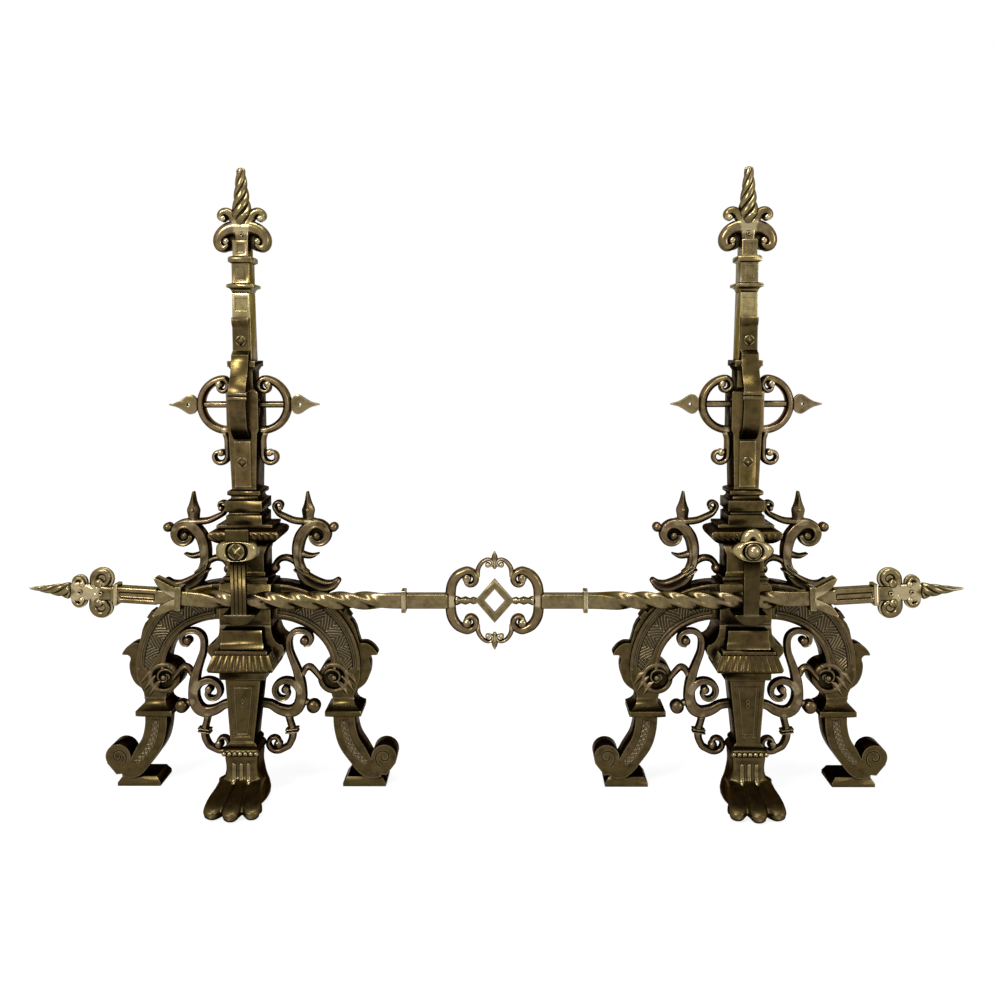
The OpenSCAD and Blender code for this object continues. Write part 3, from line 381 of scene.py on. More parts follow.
def boss(shell: Shell, x: float, z: float, r: float, y: float, t: float, bulge: float = 0.35,
         n: int = 28) -> None:
    """A round boss whose front is domed, turned about the depth axis.

    Args:
        shell: takes the boss.
        x: centre.
        z: centre.
        r: radius.
        y: depth of the middle plane.
        t: thickness between the front's rim and the back.
        bulge: how far the front swells, as a share of the radius.
        n: points round the axis.
    """
    a = np.radians(np.linspace(0, 82, 7))
    radii = np.concatenate([[0.5 * r, 0.92 * r, r, r], r * np.cos(a[1:])])
    depths = np.concatenate([[y + t / 2, y + t / 2, y + t / 2 - 1, y - t / 2],
                             y - t / 2 - bulge * r * np.sin(a[1:])])
    th = np.linspace(0, 2 * np.pi, n, endpoint=False)
    rings = np.stack([x + radii[:, None] * np.cos(th), np.repeat(depths[:, None], n, 1),
                      z + radii[:, None] * np.sin(th)], -1)
    shell.loft(rings)


def scroll(shell: Shell, path: Array, eye: float, y: float, t: float,
           profile: Profile = Profile.DOMED, bulge: float = 0.45) -> None:
    """A strap that ends in a domed eye.

    Args:
        shell: takes the scroll.
        path: rows x, z, width.
        eye: radius of the eye.
        y: depth of the middle plane.
        t: thickness.
        profile: cross-section of the strap.
        bulge: swell of the eye.
    """
    p = strap(shell, path, y, t, profile)
    boss(shell, p[-1, 0], p[-1, 1], eye, y + 0.06 * t, t * 0.84, bulge)


def twisted_horn(length: float, r: float, tip_r: float, foot_l: float, foot_r: float,
                 turn: float, lobes: int = 4) -> Shell:
    """A horn along z: radius falls from r to tip_r, and rope-like ridges wind round it.

    The radius is cut by a share of (1 - |sin|) of the turned angle, so ridges are round and
    grooves sharp.

    Args:
        length: whole length.
        r: widest radius.
        tip_r: radius at the tip.
        foot_l: length of the opening cone below.
        foot_r: its radius at the foot.
        turn: winding over the whole horn in degrees.
        lobes: number of ridges.

    Returns:
        The shell on its own axis.
    """
    z = np.linspace(0, length - tip_r * 0.6, 110)
    up = np.clip((z - foot_l) / (length - foot_l), 0, 1)
    opened = np.clip(z / foot_l, 0, 1)
    body = np.minimum(r + (tip_r - r) * up**0.92, foot_r + (r - foot_r) * opened**0.6)
    th = np.linspace(0, 2 * np.pi, lobes * 18, endpoint=False)
    wind = np.radians(turn) * z / length
    ridge = np.abs(np.sin(lobes * (th[None, :] - wind[:, None]) / 2))
    rr = body[:, None] * (1 - 0.38 * opened[:, None] * (1 - ridge**0.8) ** 1.4)
    rings = np.stack([rr * np.cos(th), rr * np.sin(th), np.repeat(z[:, None], len(th), 1)], -1)
    a = np.radians([30, 60, 80])[:, None]
    narrow = np.hstack([np.cos(a), np.cos(a), 0 * a])[:, None]
    lift = np.hstack([0 * a, 0 * a, z[-1] + tip_r * 0.6 * np.sin(a)])[:, None]
    return Shell().loft(np.concatenate([rings, rings[-1] * narrow + lift]))


# ---------------------------------------------------------------- finishes

class Nodes:
    """Short ways to add shader nodes to one tree."""

    def __init__(self, tree: bpy.types.NodeTree) -> None:
        """Works on a material's or the world's tree."""
        self.tree = tree

    def add(self, kind: str, sockets: dict, **settings: object) -> bpy.types.Node:
        """Adds a node.

        Args:
            kind: its type without the prefix.
            sockets: inputs by name or place, each a number, a colour or a socket to link.
            settings: the node's own properties.

        Returns:
            The node.
        """
        x = self.tree.nodes.new("ShaderNode" + kind)
        for key, value in settings.items():
            setattr(x, key, value)
        self.fill(x, sockets)
        return x

    def fill(self, node: bpy.types.Node, sockets: dict) -> None:
        """Sets a node's inputs, by name or place, to numbers and colours or links them.

        Args:
            node: the node.
            sockets: inputs by name or place.
        """
        for key, value in sockets.items():
            if isinstance(value, bpy.types.NodeSocket):
                self.tree.links.new(value, node.inputs[key])
            else:
                node.inputs[key].default_value = (*value, 1) if isinstance(value, tuple) else value

    def ramp(self, fac: Socket, lo: float, hi: float, a: float = 0.0, b: float = 1.0) -> Socket:
        """Maps lo..hi to a..b and clamps."""
        sockets = {"Value": fac, "From Min": lo, "From Max": hi, "To Min": a, "To Max": b}
        return self.add("MapRange", sockets).outputs["Result"]

    def mix(self, fac: Socket, a: Socket | tuple, b: Socket | tuple) -> Socket:
        """Colour between a and b, each a colour or a socket."""
        return self.add("Mix", {0: fac, 6: a, 7: b}, data_type="RGBA").outputs[2]

    def math(self, operation: str, a: Socket | float, b: Socket | float) -> Socket:
        """One arithmetic step on two sockets or numbers, clamped to 0..1."""
        return self.add("Math", {0: a, 1: b}, operation=operation, use_clamp=True).outputs[0]

    def axes(self, vector: Socket) -> bpy.types.NodeOutputs:
        """A vector's x, y and z."""
        return self.add("SeparateXYZ", {0: vector}).outputs

    def occlusion(self, distance: float, inside: bool) -> Socket:
        """Share of free sky within a distance, over the surface or inside the piece alone."""
        return self.add("AmbientOcclusion", {"Distance": distance}, samples=8, inside=inside,
                        only_local=inside).outputs["AO"]

    def seen(self) -> Socket:
        """One where a ray shows the background: straight, in a reflection or through glass.

        Returns:
            A socket of 0 or 1.
        """
        path = self.add("LightPath", {}).outputs
        last = path["Is Camera Ray"]
        for name in ("Is Glossy Ray", "Is Transmission Ray"):
            last = self.add("Math", {0: last, 1: path[name]}, operation="MAXIMUM").outputs[0]
        return last


@dataclass(frozen=True)
class Brass:
    """Aged cast brass: polished on its edges, dark brown in its hollows from grime and painted shade, mottled
    between.
    """

    name: str
    body: tuple = (0.110, 0.080, 0.025)
    shade: tuple = (0.052, 0.037, 0.011)
    tint: tuple = (0.125, 0.080, 0.038)
    # the next two colours are painted shade: the first in hollows, mixed with grime; the second on faces
    # turned from the front and on low parts
    hollow_shade_and_grime: tuple = (0.013, 0.009, 0.004)
    turned: tuple = (0.018, 0.013, 0.006)
    graze: tuple = (0.22, 0.17, 0.10)
    fine: bool = False
    edge: tuple = (0.52, 0.43, 0.25)
    roughness: float = 0.28
    wear: float = 0.7

    def material(self) -> bpy.types.Material:
        """Builds the node tree.

        Large and small noise on Object coordinates mix body, shade and tint; faces turned down, sideways
        or back are painted darker as shade and low parts grow darker towards the bottom; ambient occlusion
        from outside paints shade into hollows, from inside brightens edges as wear.

        Returns:
            The material.
        """
        m = bpy.data.materials.new(self.name)
        m.use_nodes = True
        n = Nodes(m.node_tree)
        place = n.add("TexCoord", {}).outputs["Object"]

        def noise(scale: float, detail: float, rough: float = 0.55) -> Socket:
            """Noise factor at a scale per metre."""
            sockets = {"Vector": place, "Scale": scale, "Detail": detail, "Roughness": rough}
            return n.add("TexNoise", sockets).outputs["Fac"]

        patches, mottle, grain = noise(14, 4), noise(90, 5, 0.6), noise(900, 3, 0.7)
        colour = n.mix(n.ramp(patches, 0.40, 0.66), self.body, self.tint)
        colour = n.mix(n.ramp(mottle, 0.42, 0.72), colour, self.shade)
        # painted shade: faces turned down, sideways or back take the turned colour, and below 0.40 m
        # everything grows darker towards the bottom
        facing = n.axes(n.add("NewGeometry", {}).outputs["Normal"])
        painted_shade_and_low_dark = n.math("ADD", n.ramp(facing[1], -0.8, 0.0, 0.0, 0.7), n.ramp(facing[2], 0.0, -0.8, 0.0, 0.5))
        painted_shade_and_low_dark = n.math("ADD", painted_shade_and_low_dark, n.ramp(n.axes(place)[2], 0.40, 0.24, 0.0, 0.25))
        colour = n.mix(n.math("MINIMUM", painted_shade_and_low_dark, 0.88), colour, self.turned)
        # painted shade in hollows from outside occlusion, plus grime from the mottle
        open_sky = n.occlusion(0.016, False)
        grime_and_painted_shade = n.math("ADD", n.ramp(open_sky, 0.18, 0.72, 1.0, 0.0), n.ramp(mottle, 0.55, 0.9, 0.0, 0.25))
        # pointiness paints shade into sunk grooves and lightens sharp ridges as wear
        if self.fine:
            point = n.add("NewGeometry", {}).outputs["Pointiness"]
            grime_and_painted_shade = n.math("ADD", grime_and_painted_shade, n.ramp(point, 0.503, 0.460, 0.0, 0.9))
            colour = n.mix(n.ramp(point, 0.51, 0.57, 0.0, 0.3), colour, self.edge)
        colour = n.mix(grime_and_painted_shade, colour, self.hollow_shade_and_grime)
        worn = n.math("MULTIPLY", n.ramp(n.occlusion(0.0035, True), 0.42, 0.80, self.wear, 0.0),
                      n.ramp(grain, 0.25, 0.55, 0.35, 1.0))
        worn = n.math("MULTIPLY", worn, n.ramp(open_sky, 0.35, 0.8))
        worn = n.math("MULTIPLY", worn, n.ramp(facing[1], 0.1, 0.6, 1.0, 0.12))
        rough = n.ramp(mottle, 0.3, 0.8, self.roughness - 0.06, self.roughness + 0.14)
        uneven = n.math("ADD", n.math("MULTIPLY", mottle, 0.7), n.math("MULTIPLY", grain, 0.3))
        bump = n.add("Bump", {"Strength": 0.35, "Distance": 0.0006, "Height": uneven})
        n.fill(m.node_tree.nodes["Principled BSDF"], {
            "Base Color": n.mix(worn, colour, self.edge),
            "Roughness": n.math("ADD", rough, n.ramp(grime_and_painted_shade, 0.0, 1.0, 0.0, 0.3)),
            "Metallic": 1.0,
            "Specular Tint": self.graze,
            "Normal": bump.outputs["Normal"],
        })
        return m


class Finish(Enum):
    """The finishes of the set, each a kind of aged brass but for the iron of the tie rods; two of them are
    lighter and darker copies that paint highlight and shade.
    """

    BRASS = Brass("antique_brass")
    DARK = Brass("dark_brass", body=(0.080, 0.057, 0.019), shade=(0.038, 0.027, 0.009),
                 tint=(0.098, 0.063, 0.028), wear=0.4, roughness=0.27)
    COPPER = Brass("copper_toned_brass", body=(0.122, 0.086, 0.038), shade=(0.058, 0.041, 0.016),
                   tint=(0.170, 0.113, 0.067), wear=0.28)
    POLISHED = Brass("polished_brass", body=(0.205, 0.160, 0.070), shade=(0.085, 0.063, 0.024),
                     tint=(0.21, 0.150, 0.083), turned=(0.055, 0.041, 0.018), graze=(0.50, 0.44, 0.32),
                     roughness=0.20)
    RING = Brass("rubbed_copper_brass", body=(0.175, 0.128, 0.058), shade=(0.085, 0.058, 0.026),
                 tint=(0.225, 0.152, 0.092), turned=(0.045, 0.031, 0.016), graze=(0.45, 0.36, 0.27),
                 roughness=0.24)
    # a lighter copy of the brass: painted highlight on the upper shaft and the hook bosses
    BRIGHT = Brass("bright_brass", body=(0.36, 0.29, 0.128), shade=(0.150, 0.116, 0.044),
                   tint=(0.36, 0.27, 0.150), turned=(0.060, 0.045, 0.020), graze=(0.50, 0.44, 0.32),
                   roughness=0.20)
    GROOVED = Brass("grooved_brass", body=(0.20, 0.158, 0.070), shade=(0.085, 0.063, 0.024),
                    tint=(0.19, 0.14, 0.074), turned=(0.035, 0.026, 0.012), graze=(0.50, 0.44, 0.32),
                    roughness=0.18, fine=True)
    RUBBED = Brass("rubbed_brass", body=(0.088, 0.064, 0.025), shade=(0.046, 0.033, 0.012),
                   tint=(0.088, 0.060, 0.027), turned=(0.066, 0.048, 0.019), wear=0.32, roughness=0.32)
    # a darker copy of the brass: painted shade on the hooks under the bar and on the sunk pilaster relief
    SHADED = Brass("shaded_brass", body=(0.060, 0.043, 0.015), shade=(0.032, 0.023, 0.008),
                   tint=(0.066, 0.045, 0.019), wear=0.12)
    RELIEF = Brass("engraved_brass", body=(0.100, 0.067, 0.028), shade=(0.057, 0.038, 0.015),
                   tint=(0.120, 0.076, 0.037), wear=0.1, roughness=0.34, fine=True)
    IRON = Brass("wrought_iron", body=(0.06, 0.057, 0.052), shade=(0.03, 0.028, 0.026),
                 tint=(0.08, 0.055, 0.04), edge=(0.2, 0.19, 0.18), roughness=0.5)


def dress(obj: bpy.types.Object, material: bpy.types.Material) -> None:
    """Gives an object one material in all its slots.

    Args:
        obj: the object.
        material: its finish.
    """
    if not obj.material_slots:
        obj.data.materials.append(material)
    for s in obj.material_slots:
        s.material = material


def soften(obj: bpy.types.Object, width: float = 0.8, segments: int = 2, angle: float = 28.0) -> None:
    """Rounds the edges of a CAD node with modifiers: doubles welded, then sharp edges bevelled.

    Args:
        obj: the node's object.
        width: bevel width in millimetres.
        segments: faces over a bevel.
        angle: edges sharper than this are bevelled, in degrees.
    """
    data = obj.data
    data.polygons.foreach_set("use_smooth", np.ones(len(data.polygons), bool))
    weld = obj.modifiers.new("weld", "WELD")
    weld.merge_threshold = 0.00002
    bevel = obj.modifiers.new("bevel", "BEVEL")
    bevel.width = width / 1000
    bevel.segments = segments
    bevel.limit_method = "ANGLE"
    bevel.angle_limit = math.radians(angle)
    bevel.harden_normals = True
    bevel.use_clamp_overlap = True


# ---------------------------------------------------------------- the andiron's pieces

@dataclass
class Maker:
    """Puts meshes on bodies, where each may stand for CAD nodes."""

    materials: dict[Finish, bpy.types.Material]

    def place(self, shell: Shell, name: str, body: str, origin: tuple, finish: Finish,
              nodes: tuple = (), slot: str = "antique_brass") -> None:
        """Makes the object, dresses it, parents it to its body and hides the CAD nodes it stands for.

        Args:
            shell: the surfaces.
            name: object name.
            body: CAD body it rides on.
            origin: place of the shell's origin, in millimetres.
            finish: its finish.
            nodes: CAD nodes that it stands for.
            slot: not used.
        """
        obj = shell.mesh(name, origin)
        dress(obj, self.materials[finish])
        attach(obj, body)
        if nodes:
            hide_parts(*nodes)
        log.info("piece %s: %d vertices on %s", name, len(obj.data.vertices), body)

    def cast(self, side: Side, shell: Shell, word: str, finish: Finish, nodes: tuple = (),
             slot: str = "antique_brass", z: float = 0.0) -> None:
        """Places a piece on one andiron.

        Args:
            side: which andiron.
            shell: the surfaces.
            word: object name without the side.
            finish: its finish.
            nodes: CAD nodes that it stands for, without the side.
            slot: the material slot's name, handed on to place.
            z: height of the shell's origin.
        """
        origin = (side.value * LEVELS.spacing / 2, LEVELS.frame_y, z)
        stands_for = tuple(f"{side.word}_{node}" for node in nodes)
        self.place(shell, f"{side.word}_{word}", f"{side.word}_andiron", origin, finish, stands_for, slot)


@dataclass
class Scrollwork(Maker):
    """Pierced brackets beside the shaft and pierced panels between the legs."""

    bracket_y: float = 14.0
    bracket_t: float = 20.0
    bracket_out: float = 34.0
    bracket_up: float = 67.0
    spiral_r: float = 17.0
    spike_h: float = 111.0
    panel_y: float = -36.0
    panel_t: float = 16.0
    panel_out: float = 58.0
    panel_up: float = 30.0

    def bracket(self) -> Shell:
        """The bracket for x > 0, its points counted from the clasp at o, b.

        Returns:
            The bracket.
        """
        L, s = LEVELS, Shell()
        o, b = L.block_w / 2 + self.bracket_out, L.z_block + self.bracket_up
        knob, eye = (39.5, L.z_base + 21), (o + 24.5, b + 51.5)
        y, t = self.bracket_y, self.bracket_t
        # stem over the big spiral, ending in a small knob at the shaft
        stem = np.vstack([spline([[eye[0] - 5, b + 70.5, 10], [o + 5, b + 70.5, 9.5], [o - 9, b + 72, 9],
                                  [o - 20, b + 76.5, 8.5], [knob[0] - 0.5, b + 81.5, 7.5]], 4),
                          volute(knob, 7, 4, 222, -70, 6.5, 4)])
        scroll(s, stem, 3.6, y, t - 2, bulge=0.9)
        # big spiral with its eye and the disc behind it
        big = np.vstack([spline([[o, b + 3, 13], [o - 3.5, b + 12, 13.5], [o - 4.5, b + 23, 15],
                                 [o - 3.5, b + 37, 16.5], [o + 0.5, b + 50, 17], [o + 8, b + 60, 17]]),
                         volute(eye, self.spiral_r, 9.5, 128, -165, 15, 7.5)])
        strap(s, big, y, t, Profile.CHANNEL)
        boss(s, eye[0] - 1.5, eye[1] - 1, 6, y, t - 4, 0.9)
        boss(s, *eye, 13, y + 5, t - 12, 0.05)
        # outer ball on its neck, the spike with its bead, and the thorn
        strap(s, [[o + 38, b + 61, 9], [o + 42, b + 62, 8], [o + 46.5, b + 63, 8]], y, t - 5)
        boss(s, o + 46.5, b + 63, 6.6, y, 12, 0.9)
        strap(s, spline([[o + 11, b + 71, 14], [o + 11, b + 79, 15], [o + 11.3, b + 87, 17.5],
                         [o + 11.2, b + 93.5, 12.5], [o + 11, b + 100.5, 8],
                         [o + 10.6, b + self.spike_h, 3.5]], 6),
              y, t - 5, Profile.RIDGE, 1.3, 0.6)
        boss(s, o + 11.3, b + 87, 2.8, y - 7, 3, 0.8)
        strap(s, spline([[o - 4.5, b + 34, 10], [o - 2, b + 27, 10], [o + 5, b + 23.5, 9],
                         [o + 15, b + 22, 7], [o + 24.5, b + 25.5, 2.5]], 6), y, t - 4)
        # clasp of three cords across the strap
        lean = math.radians(52)
        along = np.array([math.cos(lean), math.sin(lean)])
        across = np.array([along[1], -along[0]]) * 8
        for k in (-4.4, 0.0, 4.4):
            c = np.array([o + 0.5, b + 1.0]) + along * k
            clasp = [[*(c - across), 4.2], [*c, 4.6], [*(c + across), 4.2]]
            strap(s, clasp, y, t + 3, Profile.ROUND)
        # foot that runs out over the arch, and the branch back to the block
        strap(s, spline([[o, b + 1, 14], [o + 5, b - 8, 17], [o + 17, b - 17, 20],
                         [o + 32, b - 21.5, 18], [o + 44, b - 19, 14], [o + 51, b - 13, 9]], 6), y, t,
              Profile.CHANNEL)
        strap(s, spline([[o - 1, b + 6, 10], [o - 9, b + 15, 9.5], [o - 20, b + 19.5, 9],
                         [o - 30, b + 17.5, 9], [o - 36, b + 10, 8.5]], 6), y, t - 3)
        boss(s, o - 37.5, b + 4.5, 7, y, t - 5, 0.7)
        return s

    def panel(self) -> Shell:
        """The panel for x > 0, from the pilaster at f to the stem's bend at m, e.

        Returns:
            The panel.
        """
        L, s = LEVELS, Shell()
        f, e = L.pilaster_foot_w / 2, L.z_pilaster + self.panel_up
        m = f + self.panel_out
        eye, top = (f + 34, e + 34), (m + 6, L.z_block - 20)
        y, t = self.panel_y, self.panel_t
        # stem from the pilaster up to its small scroll, and the big spiral inside its bend
        stem = spline([[f + 5, e + 19, 12], [f + 16, e + 17, 12], [f + 28, e + 10, 14],
                       [f + 42, e + 7, 16], [f + 52, e + 12, 17], [m - 0.5, e + 24, 16], [m, e + 38, 15],
                       [m - 1.5, e + 51, 14], [m - 5, e + 65, 12], [m - 10, e + 79, 10.5],
                       [m - 14.5, e + 92, 9.5], [m - 15.5, top[1] - 0.5, 9],
                       [top[0] - 18.5, top[1] + 8, 8.5],
                       [top[0] - 11.5, top[1] + 13, 8], [top[0] - 3, top[1] + 13.5, 8],
                       [top[0] + 5.5, top[1] + 10, 7.5], [top[0] + 9.5, top[1] + 2.5, 6.5],
                       [top[0] + 7, top[1] - 5, 5.5], [top[0] + 1, top[1] - 6.5, 5]], 6)
        strap(s, stem, y, t, Profile.CHANNEL)
        boss(s, top[0], top[1], 6, y, t - 3, 0.8)
        scroll(s, volute(eye, 22, 5.2, 10, 420, 11, 4.5), 5.6, y, t, Profile.CHANNEL, 0.7)
        # bud, leaf to the arch's volute and lower strap with its clasp
        strap(s, [[m + 2, e + 22, 10], [m + 9, e + 19, 8], [m + 17, e + 17, 8]], y, t - 4)
        boss(s, m + 17, e + 15, 9.5, y, t - 4, 0.75)
        leaf = spline([[m + 2, e + 60, 9], [m + 6, e + 67, 9], [m + 12, e + 70, 9], [m + 18, e + 65, 8],
                       [L.volute_x - L.volute_r + 5, L.volute_z + 2, 7]], 6)
        strap(s, leaf, y, t - 4, Profile.RIDGE)
        low = np.vstack([spline([[m - 18, e + 1, 10], [m - 16, e - 8, 9], [m - 13.5, e - 18, 10],
                                 [m - 13.5, e - 30, 10], [m - 19, e - 42, 9.5]], 6),
                         volute((f + 20.5, e - 37), 13.2, 5, 300, -30, 8.5, 5.5)])
        scroll(s, low, 6, y, t - 3, Profile.DOMED, 0.75)
        for k in (-21.5, -17.5):
            clasp = [[m - 21, e + k - 1, 3.6], [m - 13.5, e + k, 4], [m - 6, e + k + 1, 3.6]]
            strap(s, clasp, y, t + 3, Profile.ROUND)
        return s

    def build(self) -> None:
        """Puts brackets and panels on both andirons."""
        for side in Side:
            for where, turned in (("outer", side is Side.LEFT), ("inner", side is Side.RIGHT)):
                for word, shell in (("bracket", self.bracket()), ("scroll_panel", self.panel())):
                    name = f"{where}_{word}"
                    self.cast(side, shell.mirrored() if turned else shell, name + "_cast", Finish.COPPER,
                              (name,), "copper_toned_brass")


@dataclass
class Finial(Maker):
    """Crown of four scrolls with its spiral-grooved horn, and the ring with its scrolls."""

    horn_l: float = 78.0
    horn_r: float = 14.5
    horn_tip_r: float = 5.6
    opening_l: float = 15.0
    opening_r: float = 4.5
    horn_turn: float = 420.0
    crown_t: float = 17.0
    ring_x: float = 24.0
    ring_y: float = -12.5
    ring_z: float = 533.0
    ring_r: float = 35.5
    ring_t: float = 20.0

    def crown(self) -> Shell:
        """Fleshy lily: shoulders that droop into big scrolls, two risen scrolls and a pierced body.

        Returns:
            The crown about its own foot.
        """
        s, t = Shell(), self.crown_t
        droop = spline([[2, 17, 19], [10, 17.5, 19], [19, 15.5, 18], [27, 10, 16.5], [32, 2, 14.5],
                        [31, -6.5, 13], [25, -10, 11], [19.5, -6, 8.5], [21, -1, 6]], 7)
        rise = spline([[5.5, 20, 11], [11, 29, 12.5], [15.5, 36, 12.5], [22.5, 39, 11],
                       [28.5, 35.5, 9.6], [28.5, 30, 7.8], [25, 29.5, 6]], 7)
        scroll(s, droop, 4.8, 0, t, Profile.DOMED, 0.9)
        scroll(s, rise, 4.2, 0, t - 2, Profile.DOMED, 0.8)
        boss(s, 25, 34, 8.0, 4, 5, 0.05)
        boss(s, 21, 0, 13.5, 6, 4, 0.03)
        s = s.both()
        strap(s, [[0, 0, 19], [0, 10, 21], [0, 19, 22]], 0.5, t, Profile.CHANNEL, 1.5, 0.25)
        strap(s, hole_rim(0, 8, 2.4, 1.6), -8, 3, Profile.ROUND)
        return s

    def ring(self) -> Shell:
        """The two C straps, their inner scrolls and the scrolls that run down the shaft.

        Returns:
            Both sides of the ring.
        """
        s, x, y, z, r = Shell(), self.ring_x, self.ring_y, self.ring_z, self.ring_r
        c_strap = volute((x, z), r - 0.5, r - 0.5, -90, 82, 11, 10.5)
        top = volute((x + 5.5, z + r - 11), 11, 4.5, 100, 400, 9, 5)
        scroll(s, np.vstack([c_strap, top]), 5, y, self.ring_t, Profile.DOMED, 0.7)
        down = spline([[x + 3, z - r, 8], [x + 2.5, z - r - 4, 8.5], [x, z - r - 12, 8.5],
                       [x, z - r - 28, 8.5]], 5)
        foot = np.vstack([down, volute((x + 11.5, z - r - 35), 11.5, 5.5, 180, 480, 8, 5)])
        scroll(s, foot, 5, y, self.ring_t - 3, Profile.DOMED, 0.8)
        return s.both()

    def build(self) -> None:
        """Puts crown, horn and ring on both andirons."""
        for side in Side:
            horn = twisted_horn(self.horn_l, self.horn_r, self.horn_tip_r, self.opening_l,
                                self.opening_r, self.horn_turn)
            self.cast(side, horn, "finial_horn_cast", Finish.GROOVED, ("finial_horn",), z=LEVELS.z_horn)
            self.cast(side, self.crown(), "finial_crown_cast", Finish.POLISHED, ("finial_crown",),
                      "copper_toned_brass", LEVELS.z_crown)
            self.cast(side, self.ring(), "ring_scrolls_cast", Finish.RING, ("ring_scrolls",),
                      "copper_toned_brass")


# height, half width, reach to the front and squareness of the ankle and the pad below it
ANKLE = np.array([[0, 30, 60, 2.6], [4, 33, 62, 2.6], [12, 34, 62, 2.6], [20, 32, 50, 2.8],
                  [26, 29, 34, 3], [31, 26.5, 27, 3.5], [37, 24, 24.5, 5], [43, 22, 23.5, 7],
                  [49, 21.5, 23.5, 8], [55, 22, 23.5, 8], [60, 22.5, 24, 9], [65, 22.5, 24, 9],
                  [66.5, 25, 27, 9], [72, 25, 27, 9], [73.9, 22.5, 24, 9]])


@dataclass
class Castings(Maker):
    """Relief on arches, legs and pilaster, the gadrooned cushion, the hooks and the lion paws."""

    arch_reach: float = 120.0
    arch_rise: float = 118.0
    leg_x: float = 131.0
    pilaster_y: float = -82.0
    zigzag_w: float = 24.0
    zigzag_pitch: float = 32.0
    plait_pitch: float = 15.0
    gadroons: int = 11
    ankle_y: float = -68.0
    toe_pitch: float = 24.5
    seat_z: float = 257.0
    boss_z: float = 342.0
    hook_w: float = 21.0
    hook_front: float = -84.0
    hook_back: float = -76.0

    def relief(self, shell: Shell, line: Array, y: Array, height: object, across: int = 25,
               back: float = 1.0) -> None:
        """A closed strip of relief along a line in x, z.

        A ring runs over the front at depth y less the height and back behind it.

        Args:
            shell: takes the strip.
            line: rows x, z, width.
            y: depth of the ground, one value or one for each row.
            height: function of length u and place v across (0 to 1), both in mm, giving mm.
            across: points across.
            back: how far the strip's back lies behind the ground.
        """
        h = headings(line)
        u = np.concatenate([[0], np.cumsum(np.hypot(*np.diff(line[:, :2], axis=0).T))])
        v = np.linspace(0, 1, across)
        k = (v - 0.5)[None, :] * line[:, 2:3]
        x, z = line[:, :1] - h[:, 1:2] * k, line[:, 1:2] + h[:, :1] * k
        ground = np.broadcast_to(np.asarray(y, float), (len(line),))[:, None]
        front = np.stack([x, ground - height(u[:, None], v[None, :]), z], -1)
        rear = np.stack([x, np.repeat(ground + back, across, 1), z], -1)
        shell.loft(np.concatenate([front, rear[:, ::-1]], 1))

    def arch(self) -> Shell:
        """Zigzag band, raised borders, sunk volute spiral and the leaf at the arch's foot, x > 0.

        Returns:
            The relief of one arch.
        """
        L, s, front = LEVELS, Shell(), LEVELS.arch_front
        a = np.radians(np.linspace(84, -1, 230))
        cx, cz = L.block_w / 2, L.z_block + 57 - self.arch_rise

        def curve(inset_x: float, inset_z: float) -> Array:
            """Quarter ellipse, inset from the arch's outer edge at its foot and at its crown."""
            return np.stack([cx + (self.arch_reach - inset_x) * np.cos(a),
                             cz + (self.arch_rise - inset_z) * np.sin(a)], 1)

        def zigzag(u: Array, v: Array) -> Array:
            """Nested zigzag lines between two plain borders.

            Args:
                u: length along the band.
                v: place across it, 0 to 1.

            Returns:
                Heights.
            """
            fold = np.abs(u / self.zigzag_pitch % 1 - 0.5) * 2
            lines = np.cos((v - 0.1 - 0.8 * fold) * self.zigzag_w * np.pi / 5.6) ** 2
            edge = np.minimum(v, 1 - v) * self.zigzag_w
            return np.where(edge < 2.0, 2.1, np.where(edge < 3.4, 0.0, 0.2 + 1.8 * lines))

        outer, inner = curve(7.5, 7.5), curve(31.5, 41.5)
        line = np.column_stack([(outer + inner) / 2, np.linalg.norm(outer - inner, axis=1) - 1])
        self.relief(s, line, front + 2, zigzag, 41)
        for rim in (curve(3.0, 3.0), curve(36.0, 44.64)):
            border = np.column_stack([rim, np.full(len(rim), 5.2)])
            strap(s, border, front + 1.2, 4.5, Profile.DOMED, 2.0, 0.1)
        c, r = (L.volute_x, L.volute_z), L.volute_r
        strap(s, volute(c, r - 3.4, r - 3.4, 120, -235, 6, 6), front + 0.5, 5, Profile.DOMED, 2.0, 0.1)
        strap(s, volute(c, r - 8, 4, 150, -190, 5, 3), front + 4, 8, Profile.DOMED, 1.3)
        boss(s, *c, 4.2, front + 4, 6, 0.9)
        for x0, z0, x1, z1 in ((140, 161, 149, 150), (134, 154, 144, 141), (127, 147, 137, 134)):
            leaf = [[x0 - 3, z0 + 3, 5], [x0, z0, 8], [(x0 + x1) / 2, (z0 + z1) / 2, 7], [x1, z1, 3]]
            strap(s, spline(leaf, 5), front + 1, 7, Profile.RIDGE, 1.2, 0.7)
        return s

    def leg(self) -> Shell:
        """Plaited strip between two lines down the front of the side leg, x > 0.

        Returns:
            The relief of one leg.
        """
        L, s = LEVELS, Shell()
        path = spline([[self.leg_x, 96, 11], [self.leg_x + 1, 86, 11], [self.leg_x + 6, 66, 11],
                       [self.leg_x + 17, 47, 10], [self.leg_x + 30, 34, 9]], 40)

        def plait(u: Array, v: Array) -> Array:
            """Two waves that cross, inside a rim.

            Args:
                u: length along the strip.
                v: place across it, 0 to 1.

            Returns:
                Heights.
            """
            d = (v - 0.5) * 2
            wave = np.sin(u * 2 * np.pi / self.plait_pitch) * 0.62
            nearest = np.minimum(np.abs(d - wave), np.abs(d + wave))
            rim = np.exp(-((np.abs(d) - 0.93) / 0.07) ** 2)
            return 0.15 + 1.1 * np.maximum(np.exp(-((nearest / 0.17) ** 2)), rim)

        self.relief(s, path, L.leg_y - 22, plait, 31, 1.5)
        return s

